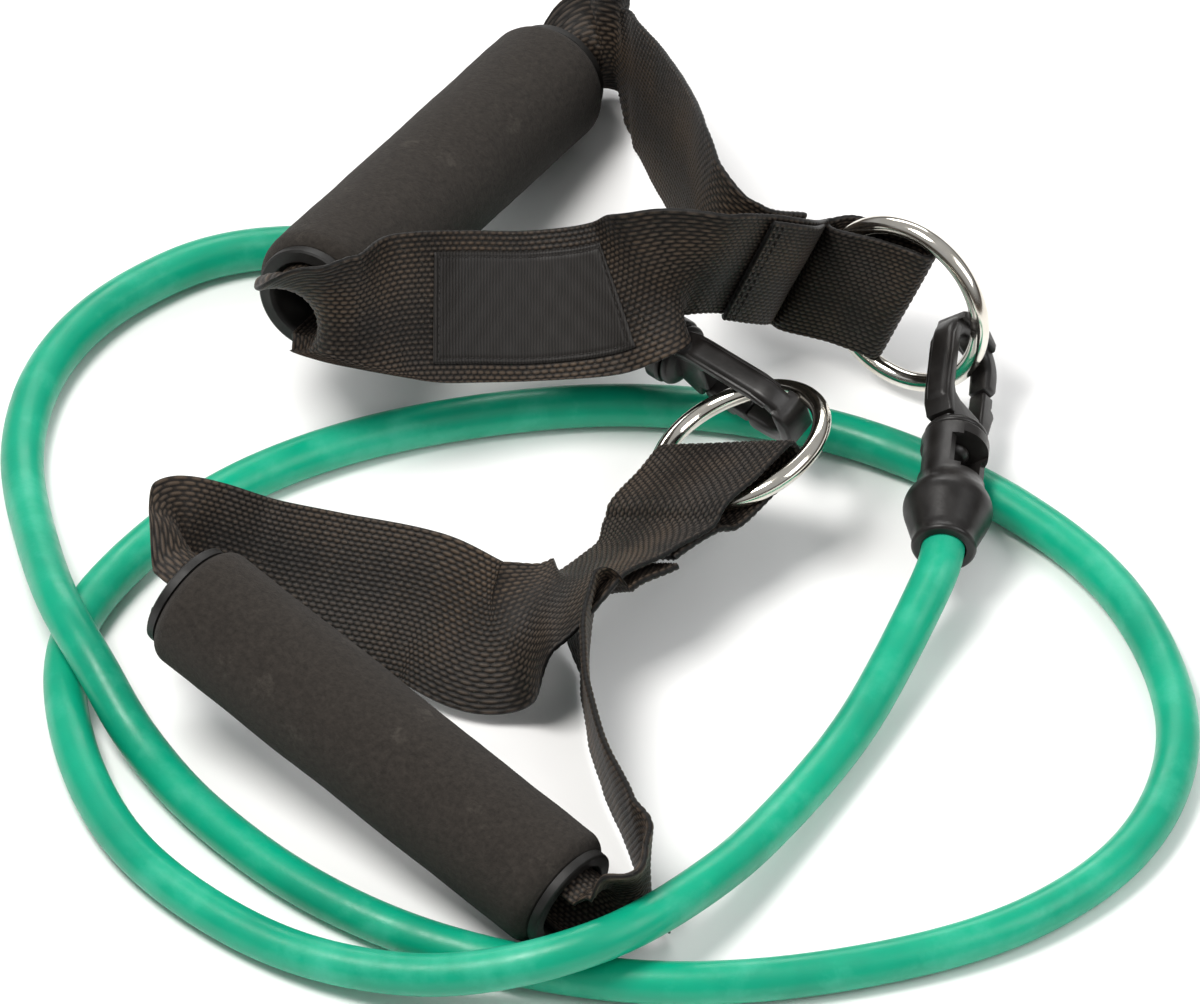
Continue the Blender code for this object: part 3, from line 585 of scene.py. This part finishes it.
def hook_outline():
    outer = HOOK_HALF
    inner = outer - HOOK_BAR
    centre = (0, HOOK_LENGTH - outer)
    points = [(-6.2 * MM, 2 * MM), (-7.4 * MM, 4.0 * MM), (-outer + 0.4 * MM, 7.2 * MM), (-outer, 9.5 * MM)]
    points += arc(centre, outer, 180, 112, 12)
    points += [(-2.2 * MM, HOOK_LENGTH - 0.2 * MM), (2.6 * MM, HOOK_LENGTH - 0.1 * MM)]
    points += arc(centre, outer, 66, 0, 12)
    points += [(outer, NOSE_END + 1.8 * MM), (outer - 1.0 * MM, NOSE_END + 0.2 * MM)]
    points += [(inner + 0.2 * MM, NOSE_END)]
    points += arc(centre, inner, 0, 180, 24)
    points += [(-inner, EYE_BOTTOM + 2.5 * MM), (-inner + 0.7 * MM, EYE_BOTTOM + 0.8 * MM)]
    points += [(-inner + 2.5 * MM, EYE_BOTTOM), (inner - 0.6 * MM, EYE_BOTTOM), (inner - 0.2 * MM, 8.2 * MM)]
    points += [(outer - 0.4 * MM, 7.6 * MM), (8.0 * MM, 4.4 * MM), (6.2 * MM, 2 * MM)]
    return points


def build_hook(letter, frame, material):
    name = f"snap_hook_{letter}_fine"
    hook = add_object(name, plate(name, hook_outline(), 6.0 * MM, 1.5 * MM, 5), material, frame)
    rib = [(-9.6 * MM, 6.5 * MM), (-9.9 * MM, 10 * MM), (-9.9 * MM, 27 * MM), (-8.6 * MM, 31.5 * MM)]
    rib += [(-6.9 * MM, 31.0 * MM), (-7.5 * MM, 27 * MM), (-7.5 * MM, 10 * MM), (-6.0 * MM, 3 * MM)]
    rib += [(-8 * MM, 3 * MM)]
    cut(hook, add_object("rib", plate("rib", rib, 7.4 * MM, 0.6 * MM, 3), frame=frame), "UNION")
    nose = [(-7.6 * MM, 33.6 * MM), (-7.2 * MM, 36.2 * MM), (-4.6 * MM, 38.3 * MM), (3.4 * MM, 38.4 * MM)]
    nose += [(6.8 * MM, 36.2 * MM), (6.6 * MM, 34.0 * MM), (0, 34.6 * MM)]
    cut(hook, add_object("nose", plate("nose", nose, 8.6 * MM, 0.9 * MM, 3), frame=frame), "UNION")
    low = -3.8 * MM
    outline = [
        (0, 3.4 * MM), (5.0 * MM, 3.2 * MM), (7.4 * MM, 2.3 * MM), (7.8 * MM, 1.6 * MM), (7.8 * MM, 0.8 * MM),
        (7.3 * MM, 0.3 * MM), (2.35 * MM, 0.3 * MM), (2.35 * MM, low), (3.7 * MM, low - 0.2 * MM),
        (3.4 * MM, low - 1.2 * MM), (2.4 * MM, low - 2.2 * MM), (0, low - 2.2 * MM),
    ]
    collar = turned_mesh("collar", rounded(outline, 0.5 * MM, 3), 56)
    cut(hook, add_object("collar", collar, frame=frame), "UNION")
    realise(hook, 45)
    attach(hook, f"hook_{letter}")
    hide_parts(f"snap_hook_{letter}")


def build_gate(letter, frame, material):
    middle = HOOK_HALF - HOOK_BAR / 2
    foot = 8.2 * MM + 0.3 * MM + 2.1 * MM
    top = NOSE_END - 0.3 * MM - foot
    half = 2.1 * MM
    outline = arc((0, 0), half, 180, 360, 16)
    outline += [(half + 0.5 * MM, top * 0.25), (half + 1.15 * MM, top * 0.5), (half + 0.8 * MM, top * 0.6)]
    outline += [(half - 0.2 * MM, top * 0.66), (half, top * 0.74), (half, top - 0.5 * MM)]
    outline += [(half - 0.5 * MM, top)]
    outline += [(-half + 0.5 * MM, top - 0.3 * MM), (-half, top - 0.8 * MM)]
    place = frame @ Matrix.Translation((middle, 0, foot))
    name = f"hook_gate_{letter}_fine"
    gate = add_object(name, plate(name, outline, 4.6 * MM, 0.8 * MM, 4), material, place)
    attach(gate, f"gate_{letter}")
    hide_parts(f"hook_gate_{letter}")


def build_ring(letter, centre, normal, material):
    sizes = {"major_radius": RING_R, "minor_radius": RING_WIRE_R}
    bpy.ops.mesh.primitive_torus_add(**sizes, major_segments=128, minor_segments=24)
    ring = bpy.context.object
    ring.name = f"steel_ring_{letter}_fine"
    ring.data.materials.append(material)
    ring.data.shade_smooth()
    ring.matrix_world = frame_on_axis(centre * MM, normal, Vector((0, 0.1, 1)))
    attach(ring, f"ring_{letter}")
    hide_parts(f"steel_ring_{letter}")


# ---------------------------------------------------------------- grips

def build_grip(letter, near, far, foam, cap):
    axis = (near - far).normalized()
    frame = frame_on_axis((near + far) / 2 * MM, axis, Vector((0, 0, 1)))
    half = GRIP_LENGTH / 2
    foam_half = half - 2.7 * MM
    outline = [(12.3 * MM, foam_half), (13.7 * MM, foam_half)]
    for i in range(9):
        angle = math.radians(80 - 80 * i / 8)
        height = foam_half - 4.0 * MM + 4.0 * MM * math.sin(angle)
        outline.append((12.0 * MM + 4.0 * MM * math.cos(angle), height))
    rows = 40
    straight = foam_half - 4.0 * MM
    outline += [(16.0 * MM, straight - 2 * straight * i / rows) for i in range(1, rows)]
    for i in range(9):
        angle = math.radians(-80 * i / 8)
        outline.append((12.0 * MM + 4.0 * MM * math.cos(angle), -straight + 4.0 * MM * math.sin(angle)))
    outline += [(13.7 * MM, -foam_half), (12.3 * MM, -foam_half)]
    name = f"foam_grip_{letter}_fine"
    mesh = turned_mesh(name, outline, 96)
    seed = Vector((3.1, 1.7, 0.4)) if letter == "a" else Vector((9.3, 4.1, 2.2))
    for vertex in mesh.vertices:
        radial = Vector((vertex.co.x, vertex.co.y, 0))
        if radial.length > 13.5 * MM:
            dent = noise.noise(vertex.co * 45 + seed) * 0.35 + noise.noise(vertex.co * 260 + seed) * 0.08
            vertex.co += radial.normalized() * (dent - 0.2) * MM
    mesh.shade_smooth()
    grip = add_object(name, mesh, foam, frame)
    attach(grip, f"grip_{letter}")
    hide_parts(f"foam_grip_{letter}")
    seat = half - 2.4 * MM
    profile = [
        (10.4 * MM, half), (12.9 * MM, half), (13.4 * MM, half - 0.35 * MM), (13.5 * MM, half - 0.9 * MM),
        (13.5 * MM, seat), (10.5 * MM, seat), (10.5 * MM, seat - 12 * MM), (9.6 * MM, seat - 12 * MM),
        (9.6 * MM, half - 1.6 * MM), (9.75 * MM, half - 0.7 * MM),
    ]
    turn = Matrix.Rotation(math.pi, 4, "X")
    for end, place in (("near", frame), ("far", frame @ turn)):
        name = f"end_cap_{end}_{letter}_fine"
        obj = add_object(name, turned_mesh(name, profile, 96), cap, place)
        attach(obj, f"grip_{letter}")
        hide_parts(f"end_cap_{end}_{letter}")


# ---------------------------------------------------------------- webbing

def bore_stations(entry, exit_, side, curl_sign):
    """The webbing's way through a grip, from the entry face to the exit face, curled against its bore."""
    heading = (exit_ - entry).normalized()
    side = (side - heading * side.dot(heading)).normalized()
    width = heading.cross(side) * curl_sign
    curl = curl_sign * math.degrees(WEB_WIDTH / CURL_R)
    length = (exit_ - entry).length
    spots = (-4, 1, 10, length / 2, length - 10, length - 1, length + 4)
    return [(entry + heading * spot + side * CURL_R, width, curl) for spot in spots]


def fold_stations(centre, normal, width, outward, skew, neck):
    """The pocket that holds half of the ring: up to its fold on one side of the ring, back on the other. Its
    width turns into the neck's width where the two sides meet."""
    stations = []
    spots = [(-POCKET_DEPTH, -1.05, skew, 1), (-POCKET_DEPTH * 0.88, -FOLD_R, skew * 0.8, 0.8),
             (-12, -FOLD_R, skew * 0.3, 0.35), (FOLD_OFFSET, -FOLD_R, 0, 0)]
    spots += [(FOLD_OFFSET + FOLD_R * 0.71, -FOLD_R * 0.71, 0, 0), (FOLD_OFFSET + FOLD_R, 0, 0, 0)]
    spots += [(along, -aside, shift, share) for along, aside, shift, share in reversed(spots[:-1])]
    for along, aside, shift, share in spots:
        point = centre + outward * along + normal * aside + width * shift
        stations.append((point, width.lerp(neck, share).normalized(), 0))
    return stations


def station(x, y, z, wx, wy, wz, curl=0):
    return (Vector((x, y, z)), Vector((wx, wy, wz)), curl)


def lay_over(stations, normal, layers):
    """The same stations moved along the normal by a number of layers."""
    return [(point + normal * (LAYER_PITCH * layers), width, curl) for point, width, curl in stations]


def strap_a_stations():
    normal = RING_A_NORMAL.normalized()
    width = Vector((0.337, -0.06, 0.94))
    width = (width - normal * width.dot(normal)).normalized()
    outward = width.cross(normal)
    if outward.x < 0:
        outward = -outward
    sewn = [station(27.5, 31.6, 49.0, 0.33, -0.05, 0.94), station(35, 36.2, 45.2, 0.337, -0.06, 0.94),
            station(44.5, 43.0, 36.8, 0.337, -0.06, 0.94)]
    front = Vector((0.415, -0.874, -0.204)).normalized()
    back_end = lay_over(sewn[1:], front, -1)[::-1]
    far_leg = [
        station(28, 40, 48.9, 0.3, 0, 0.95), station(25, 47.5, 49, 0.2, 0, 0.98),
        station(23.3, 60, 46.5, 0.12, 0.05, 0.99), station(20, 80, 38.5, 0.1, 0.1, 0.99),
        station(14.5, 103, 28.5, 0.1, 0.05, 0.99), station(8.8, 122, 21.5, 0.05, 0, 0.99),
        station(6.5, 129.5, 19.3, 0, 0, 1), station(3.5, 134.5, 18.9, 0, 0.1, 0.99, 40),
        station(0.2, 134.6, 18.2, 0, 0.2, 0.98, 150),
    ]
    bore = bore_stations(GRIP_A_FAR, GRIP_A_NEAR, Vector((1, 0, 0.4)), 1)
    near_leg = [
        station(-68, 14.3, 50.5, -0.34, 0.41, 0.85, 190), station(-66.2, 10.6, 51.6, -0.15, 0.35, 0.92, 80),
        station(-60, 9.8, 51.6, 0, 0.3, 0.95, 20), station(-48, 16.8, 48.6, 0, 0.62, 0.78),
        station(-33, 24.5, 41.8, 0, 0.707, 0.707), station(-15.7, 29, 37.4, 0, 0.707, 0.707),
        station(2, 28.7, 41, 0, 0.68, 0.73), station(15, 27.6, 49.8, 0.15, 0.25, 0.957),
    ]
    middle = [station(26.5, 30, 51, 0.33, -0.05, 0.94)] + sewn[1:]
    fold = fold_stations(RING_A_CENTRE, normal, width, outward, -13, width)
    tail = lay_over(sewn[1:], front, 1)[::-1]
    return back_end + far_leg + bore + near_leg + middle + fold + tail


def strap_b_stations():
    normal = RING_B_NORMAL.normalized()
    width = Vector((0.847, -0.35, 0.396))
    width = (width - normal * width.dot(normal)).normalized()
    outward = normal.cross(width)
    sewn = [station(8, -38.5, 22.5, 0.5, -0.62, 0.6), station(-1.5, -47.5, 23.5, 0.42, -0.64, 0.64)]
    up = Vector((-0.37, 0.48, 0.79)).normalized()
    tail = lay_over(sewn[:1], up, -1)
    neck = Vector((0.72, -0.5, 0.48)).normalized()
    fold = fold_stations(RING_B_CENTRE - outward * 1.5 - width * 1.5, normal, width, outward, -8, neck)
    left_leg = [
        station(-11.5, -58, 23, 0.05, -0.97, 0.2), station(-25.5, -62.5, 16.5, 0, -0.75, -0.66),
        station(-43, -55.5, 19.5, 0, -0.707, -0.707), station(-66, -50, 20.5, 0, -0.707, -0.707),
        station(-83, -48.5, 24, 0, -0.65, -0.76), station(-94.5, -49.3, 30, 0, -0.5, -0.86),
        station(-100.8, -53.3, 36, 0, -0.3, -0.95, -40), station(-99.7, -58.3, 39.6, -0.1, -0.1, -0.98, -160),
    ]
    bore = bore_stations(GRIP_B_FAR, GRIP_B_NEAR, Vector((0.65, 0.745, 0)), -1)
    right_leg = [
        station(4.7, -150.2, 15.6, -0.1, 0.1, -0.99, -190), station(8.6, -150.8, 17.2, -0.05, 0, -1, -70),
        station(11.3, -146, 19, 0, 0, -1, -10), station(9.4, -136, 19.4, 0.12, 0, -1),
        station(3.8, -118, 19.8, 0.17, 0, -1), station(-0.8, -100, 20, 0.12, 0, -1),
        station(-3.2, -82, 20, 0.05, 0, -1), station(-2.8, -63, 20, -0.05, 0.15, -0.98),
    ]
    end = [(point, -width_, curl) for point, width_, curl in lay_over(sewn[::-1], up, -2)]
    return tail + fold + sewn + left_leg + bore + right_leg + end


def strap_sheet(stations, pulled):
    """Even sections along the webbing, in millimetres: marks, middles, headings, widths and curls. The widths
    are square to the path, but as given at the pulled stations, where the webbing is drawn askew."""
    dense = dense_path([entry[0] + SHIFT for entry in stations])
    widths, curls, skews = [], [], []
    for k in range(len(stations) - 1):
        first, second = stations[k], stations[k + 1]
        for i in range(SPLITS):
            share = i / SPLITS
            eased = share * share * (3 - 2 * share)
            widths.append(tuple(first[1].normalized().slerp(second[1].normalized(), eased)))
            curls.append(first[2] + (second[2] - first[2]) * eased)
            skews.append((k in pulled) * (1 - eased) + (k + 1 in pulled) * eased)
    widths.append(tuple(stations[-1][1].normalized()))
    curls.append(stations[-1][2])
    skews.append(float(len(stations) - 1 in pulled))
    points = np.array([tuple(point) for point in dense])
    table = np.concatenate([points, np.array(widths), np.array([curls, skews]).T], axis=1)
    marks, table = even(table, running_length(points), SHEET_STEP)
    middle = smoothed(table[:, :3], 6)
    heading = unit(np.gradient(middle, axis=0))
    width = smoothed(table[:, 3:6], 10)
    width = unit(width - heading * (width * heading).sum(1, keepdims=True) * (1 - table[:, 7:8]))
    return marks, middle, heading, width, np.radians(table[:, 6])


def step(value, low, high):
    """0 below low, 1 above high, smooth in between."""
    share = np.clip((value - low) / (high - low), 0, 1)
    return share * share * (3 - 2 * share)


def press(points, facing, level, fades, keep=0.15, soft=1.2):
    """Webbing gathered under a plane: what stands above the level along facing is squeezed back towards it.
    Each fade is (axis, from, to): the squeeze comes in between the two along that axis, or goes out if to is
    below from."""
    facing = np.array(facing) / np.linalg.norm(facing)
    excess = np.clip(points @ facing - level, 0, None)
    squeezed = keep * excess + (1 - keep) * soft * (1 - np.exp(-excess / soft))
    amount = excess - squeezed
    for axis, start, end in fades:
        amount = amount * step(points[..., axis], start, end)
    return points - facing * amount[..., None]


def plane_through(first, second, sign):
    """The facing and level of the plane that holds the line of sight through two spots, each (X, Y + Z)."""
    run = np.array((second[0] - first[0], (second[1] - first[1]) / math.sqrt(2)))
    facing = np.array((-run[1], run[0])) * sign / np.linalg.norm(run)
    level = facing[0] * first[0] + facing[1] * first[1] / math.sqrt(2)
    return (facing[0], facing[1] / math.sqrt(2), facing[1] / math.sqrt(2)), level


PRESSES = {
    "a": [
        (*plane_through((38, 116.4), (80, 113.7), 1), [(0, 33, 40)]),
        (*plane_through((-72, 68.7), (-38, 56.8), -1), [(0, -30, -36)]),
        (*plane_through((-38, 56.8), (8.7, 59.5), -1), []),
    ],
    "b": [
        ((-1, 0, 0), 106.4, []),
        (*plane_through((-4.5, -136), (19.6, -125.7), -1), [(0, -9, -4), (1, -130, -136)]),
    ],
}


def sheet_points(sheet, across, out, letter):
    """Points over the sheet, in mm. across is along its width and out is along its face's normal, and both
    are arrays of rows and columns."""
    _, middle, heading, width, curl = sheet
    face = unit(np.cross(heading, width))
    curl = np.where(np.abs(curl) < 0.002, 0.002, curl)
    radius = (WEB_WIDTH / curl)[:, None]
    angle = across / radius
    spread = width[:, None] * (radius * np.sin(angle))[..., None]
    rise = face[:, None] * (radius * (1 - np.cos(angle)))[..., None]
    normal = face[:, None] * np.cos(angle)[..., None] - width[:, None] * np.sin(angle)[..., None]
    points = middle[:, None] + spread + rise + normal * out[..., None]
    for facing, level, fades in PRESSES[letter]:
        points = press(points, facing, level, fades)
    return points


def weave(along, across):
    """Relief of a coarse plain weave, from 0 between threads to 1 at a thread's crown: rows of loops, every
    other row half a loop further along."""
    u = across / WEAVE_ACROSS
    row = np.floor(u)
    v = along / WEAVE_ALONG + 0.5 * (row % 2)
    wobble = 0.12 * np.sin(row * 12.9) + 0.08 * np.sin(np.floor(v) * 7.7 + row * 3.1)
    crown = np.abs(np.sin(math.pi * u)) ** 0.6
    loop = np.abs(np.sin(math.pi * v)) ** 0.6
    return np.clip(crown * (0.3 + (0.7 + wobble) * loop), 0, 1)


def build_strap(letter, body, stations, pulled, material):
    sheet = strap_sheet(stations, pulled)
    marks = sheet[0]
    half = WEB_WIDTH / 2
    across = np.linspace(-half, half, SHEET_COLUMNS)
    along_grid, across_grid = np.meshgrid(marks, across, indexing="ij")
    relief = weave(along_grid, across_grid)
    edge = np.clip((half - np.abs(across_grid)) / 0.9, 0, 1)
    profile = np.sqrt(1 - (1 - edge) ** 2) * 0.75 + 0.25
    thick = (WEB_THICK / 2 - 0.45) * profile + WEAVE_DEPTH * relief
    top = sheet_points(sheet, across_grid, thick, letter)
    back = weave(along_grid + WEAVE_ALONG, across_grid)
    under = (WEB_THICK / 2 - 0.45) * profile + WEAVE_DEPTH * back
    bottom = sheet_points(sheet, across_grid, -under, letter)[:, ::-1]
    shell = np.concatenate([top, bottom], axis=1) * MM
    obj = grid_object(f"webbing_strap_{letter}_fine", shell, True, True, material)
    values = np.concatenate([relief, back[:, ::-1]], axis=1).astype(np.float32).ravel()
    layer = obj.data.attributes.new("relief", "FLOAT", "POINT")
    layer.data.foreach_set("value", values)
    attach(obj, body)
    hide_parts(f"webbing_strap_{letter}")
    return sheet


def sheet_at(sheet, mark, across, out):
    """One point over strap A's sheet, with its normal, its heading and its width, at a running length."""
    index = int(np.clip(np.searchsorted(sheet[0], mark), 1, len(sheet[0]) - 2))
    part = tuple(column[index - 1:index + 2] for column in sheet)
    flat = np.full((3, 1), float(across))
    low = sheet_points(part, flat, np.full((3, 1), float(out)), "a")[1, 0]
    high = sheet_points(part, flat, np.full((3, 1), float(out) + 1.0), "a")[1, 0]
    return Vector(low), Vector(high - low), Vector(part[2][1]), Vector(part[3][1])


def stitches(name, body, spots, material, size=(2.3, 0.55, 0.5)):
    """Short thread bumps. Each spot is (point, direction, normal) in millimetres."""
    bm = bmesh.new()
    for point, direction, normal in spots:
        x = direction.normalized()
        z = (normal - x * normal.dot(x)).normalized()
        y = z.cross(x)
        basis = Matrix((x, y, z)).transposed().to_4x4()
        scale = Matrix.Diagonal((size[0] / 2, size[1] / 2, size[2] / 2, 1))
        place = Matrix.Translation(point) @ basis @ scale
        bmesh.ops.create_icosphere(bm, subdivisions=1, radius=1, matrix=place)
    bmesh.ops.scale(bm, vec=(MM, MM, MM), verts=bm.verts)
    mesh = bpy.data.meshes.new(name)
    bm.to_mesh(mesh)
    bm.free()
    mesh.shade_smooth()
    obj = add_object(name, mesh, material)
    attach(obj, body)


def seam_spots(sheet, mark, out, reach=17.2, pitch=2.7):
    spots = []
    count = int(2 * reach / pitch)
    for i in range(count + 1):
        across = -reach + 2 * reach * i / count
        point, normal, _, width = sheet_at(sheet, mark, across, out)
        spots.append((point, width, normal))
    return spots


def build_label(sheet, low, high, satin, thread):
    """A blank satin patch with a stitched border, on the front of strap A."""
    marks = sheet[0]
    rows = np.where((marks >= low) & (marks <= high))[0]
    part = tuple(column[rows] for column in sheet)
    half = LABEL_HALF
    across = np.linspace(-half, half, 64)
    along_grid, across_grid = np.meshgrid(part[0], across, indexing="ij")
    ends = np.minimum(along_grid - part[0][0], part[0][-1] - along_grid)
    rim = np.clip(np.minimum(ends, half - np.abs(across_grid)) / 0.5, 0, 1)
    ripple = 0.05 * np.sin(along_grid * 0.9) * np.sin(across_grid * 0.7 + 0.5)
    groove = np.exp(-((np.minimum(ends, half - np.abs(across_grid)) - LABEL_SEAM) / 0.35) ** 2) * 0.18
    lift = WEB_THICK / 2 + 0.12 + 0.42 * np.sqrt(rim) + ripple * rim - groove
    top = sheet_points(part, across_grid, lift, "a")
    under = sheet_points(part, across_grid, np.full_like(lift, WEB_THICK / 2 + 0.05), "a")[:, ::-1]
    obj = grid_object("label_patch_fine", np.concatenate([top, under], axis=1) * MM, True, True, satin)
    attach(obj, "strap_a")
    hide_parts("label_patch")
    spots = []
    inset = LABEL_SEAM
    level = WEB_THICK / 2 + 0.42
    length = part[0][-1] - part[0][0]
    for i in range(int(length / 1.9)):
        mark = part[0][0] + inset + 1.9 * i
        if mark > part[0][-1] - inset:
            break
        for across_at in (-half + inset, half - inset):
            point, normal, heading, _ = sheet_at(sheet, mark, across_at, level)
            spots.append((point, heading, normal))
    for mark in (part[0][0] + inset, part[0][-1] - inset):
        for i in range(13):
            across_at = -half + inset + (2 * half - 2 * inset) * i / 12
            point, normal, _, width = sheet_at(sheet, mark, across_at, level)
            spots.append((point, width, normal))
    stitches("label_stitches", "strap_a", spots, thread, (1.5, 0.32, 0.3))


# ---------------------------------------------------------------- light, floor, camera

def area_light(name, place, target, size, energy, colour):
    data = bpy.data.lights.new(name, "AREA")
    data.shape = "RECTANGLE"
    data.size, data.size_y = size
    data.energy = energy
    data.color = colour
    light = bpy.data.objects.new(name, data)
    bpy.context.collection.objects.link(light)
    light.location = place
    light.rotation_euler = (Vector(target) - Vector(place)).to_track_quat("-Z", "Y").to_euler()


def build_stage():
    material, tree, shader = node_material("stage_white")
    tone = ramp(tree, object_noise(tree, 2, 2), [(0.3, (0.9, 0.9, 0.9)), (0.7, (0.94, 0.94, 0.94))])
    tree.links.new(tone, shader.inputs["Base Color"])
    shader.inputs["Roughness"].default_value = 0.9
    bpy.ops.mesh.primitive_plane_add(size=8, location=(0, 0, -0.0003))
    floor = bpy.context.object
    floor.name = "stage_floor"
    floor.data.materials.append(material)
    area_light("key", (-0.45, -0.25, 1.3), (0, 0, 0), (0.5, 0.5), 17, (1, 0.98, 0.95))
    area_light("fill", (0.9, -0.4, 0.9), (0, 0, 0), (0.7, 0.7), 6, (1, 1, 1))
    area_light("back", (0.0, 1.1, 0.8), (0, 0, 0), (0.9, 0.4), 6, (1, 0.99, 0.97))
    world = bpy.data.worlds.new("studio")
    bpy.context.scene.world = world
    world.use_nodes = True
    tree = world.node_tree
    background = tree.nodes["Background"]
    source = tree.nodes.new("ShaderNodeTexCoord")
    parts = tree.nodes.new("ShaderNodeSeparateXYZ")
    tree.links.new(source.outputs["Generated"], parts.inputs[0])
    height = math_node(tree, "MULTIPLY_ADD", parts.outputs["Z"], 0.5)
    tree.nodes[-1].inputs[2].default_value = 0.5
    sky = ramp(tree, height, [(0.48, (0.35, 0.27, 0.2)), (0.56, (0.12, 0.1, 0.09)), (0.7, (0.85, 0.86, 0.88)),
                              (1.0, (1.0, 1.0, 1.0))])
    tree.links.new(sky, background.inputs["Color"])
    background.inputs["Strength"].default_value = 0.5


def build_camera():
    data = bpy.data.cameras.new("camera")
    camera = bpy.data.objects.new("camera", data)
    bpy.context.collection.objects.link(camera)
    distance = 10.5
    target = Vector((0.3, 15.22 - 20, 20)) * MM
    camera.location = target + Vector((0, -math.sqrt(0.5), math.sqrt(0.5))) * distance
    camera.rotation_euler = (target - camera.location).to_track_quat("-Z", "Y").to_euler()
    data.sensor_width = 36
    data.lens = 36 * distance / 0.28916
    data.clip_start = 1
    data.clip_end = 40
    bpy.context.scene.camera = camera
    bpy.context.scene.view_settings.view_transform = "Standard"


# ---------------------------------------------------------------- build

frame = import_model()
latex = latex_material()
foam = foam_material()
black = plastic_material("moulded_black_fine", (0.008, 0.007, 0.0065), 0.3, 0.45)
cap = plastic_material("cap_black_fine", (0.007, 0.0065, 0.006), 0.45, 0.6)
core = plastic_material("core_fine", (0.2, 0.2, 0.2), 0.5, 0.6)
chrome = chrome_material()
webbing = webbing_material()
satin = satin_material()
thread = plastic_material("thread_fine", (0.014, 0.012, 0.011), 0.5, 0.7)
for node in ("tube_plug_a", "tube_plug_b"):
    frame["nodes"][node].data.materials.clear()
    frame["nodes"][node].data.materials.append(black)
for node in ("grip_core_a", "grip_core_b"):
    frame["nodes"][node].data.materials.clear()
    frame["nodes"][node].data.materials.append(core)
build_tube(latex)
ENDS = (("a", HOOK_A_BASE, HOOK_A_TIP, HOOK_A_NORMAL), ("b", HOOK_B_BASE, HOOK_B_TIP, HOOK_B_NORMAL))
for letter, base, tip, normal in ENDS:
    axis = end_axis(base, tip)
    mouth = base * MM - axis * FERRULE_LENGTH
    build_ferrule(letter, frame_on_axis(mouth, axis, normal), black)
    hook_frame = frame_on_axis(base * MM, axis, normal)
    build_hook(letter, hook_frame, black)
    build_gate(letter, hook_frame, black)
build_ring("a", RING_A_CENTRE, RING_A_NORMAL, chrome)
build_ring("b", RING_B_CENTRE, RING_B_NORMAL, chrome)
build_grip("a", GRIP_A_NEAR, GRIP_A_FAR, foam, cap)
build_grip("b", GRIP_B_NEAR, GRIP_B_FAR, foam, cap)
sheet_a = build_strap("a", "strap_a", strap_a_stations(), {0, 1, *range(26, 42)}, webbing)
build_strap("b", "ring_b", strap_b_stations(), {*range(15), 37, 38}, webbing)
near = np.where((sheet_a[2][:, 0] > 0.7) & (sheet_a[1][:, 0] > -40.7) & (sheet_a[1][:, 0] < 5.3))[0]
build_label(sheet_a, sheet_a[0][near[0]], sheet_a[0][near[-1]], satin, thread)
total = sheet_a[0][-1]
for i, mark in enumerate((total - 1.6, total - 3.4)):
    stitches(f"seam_end_a_{i}", "strap_a", seam_spots(sheet_a, mark, -WEB_THICK / 2 - 0.05), thread)
build_stage()
build_camera()
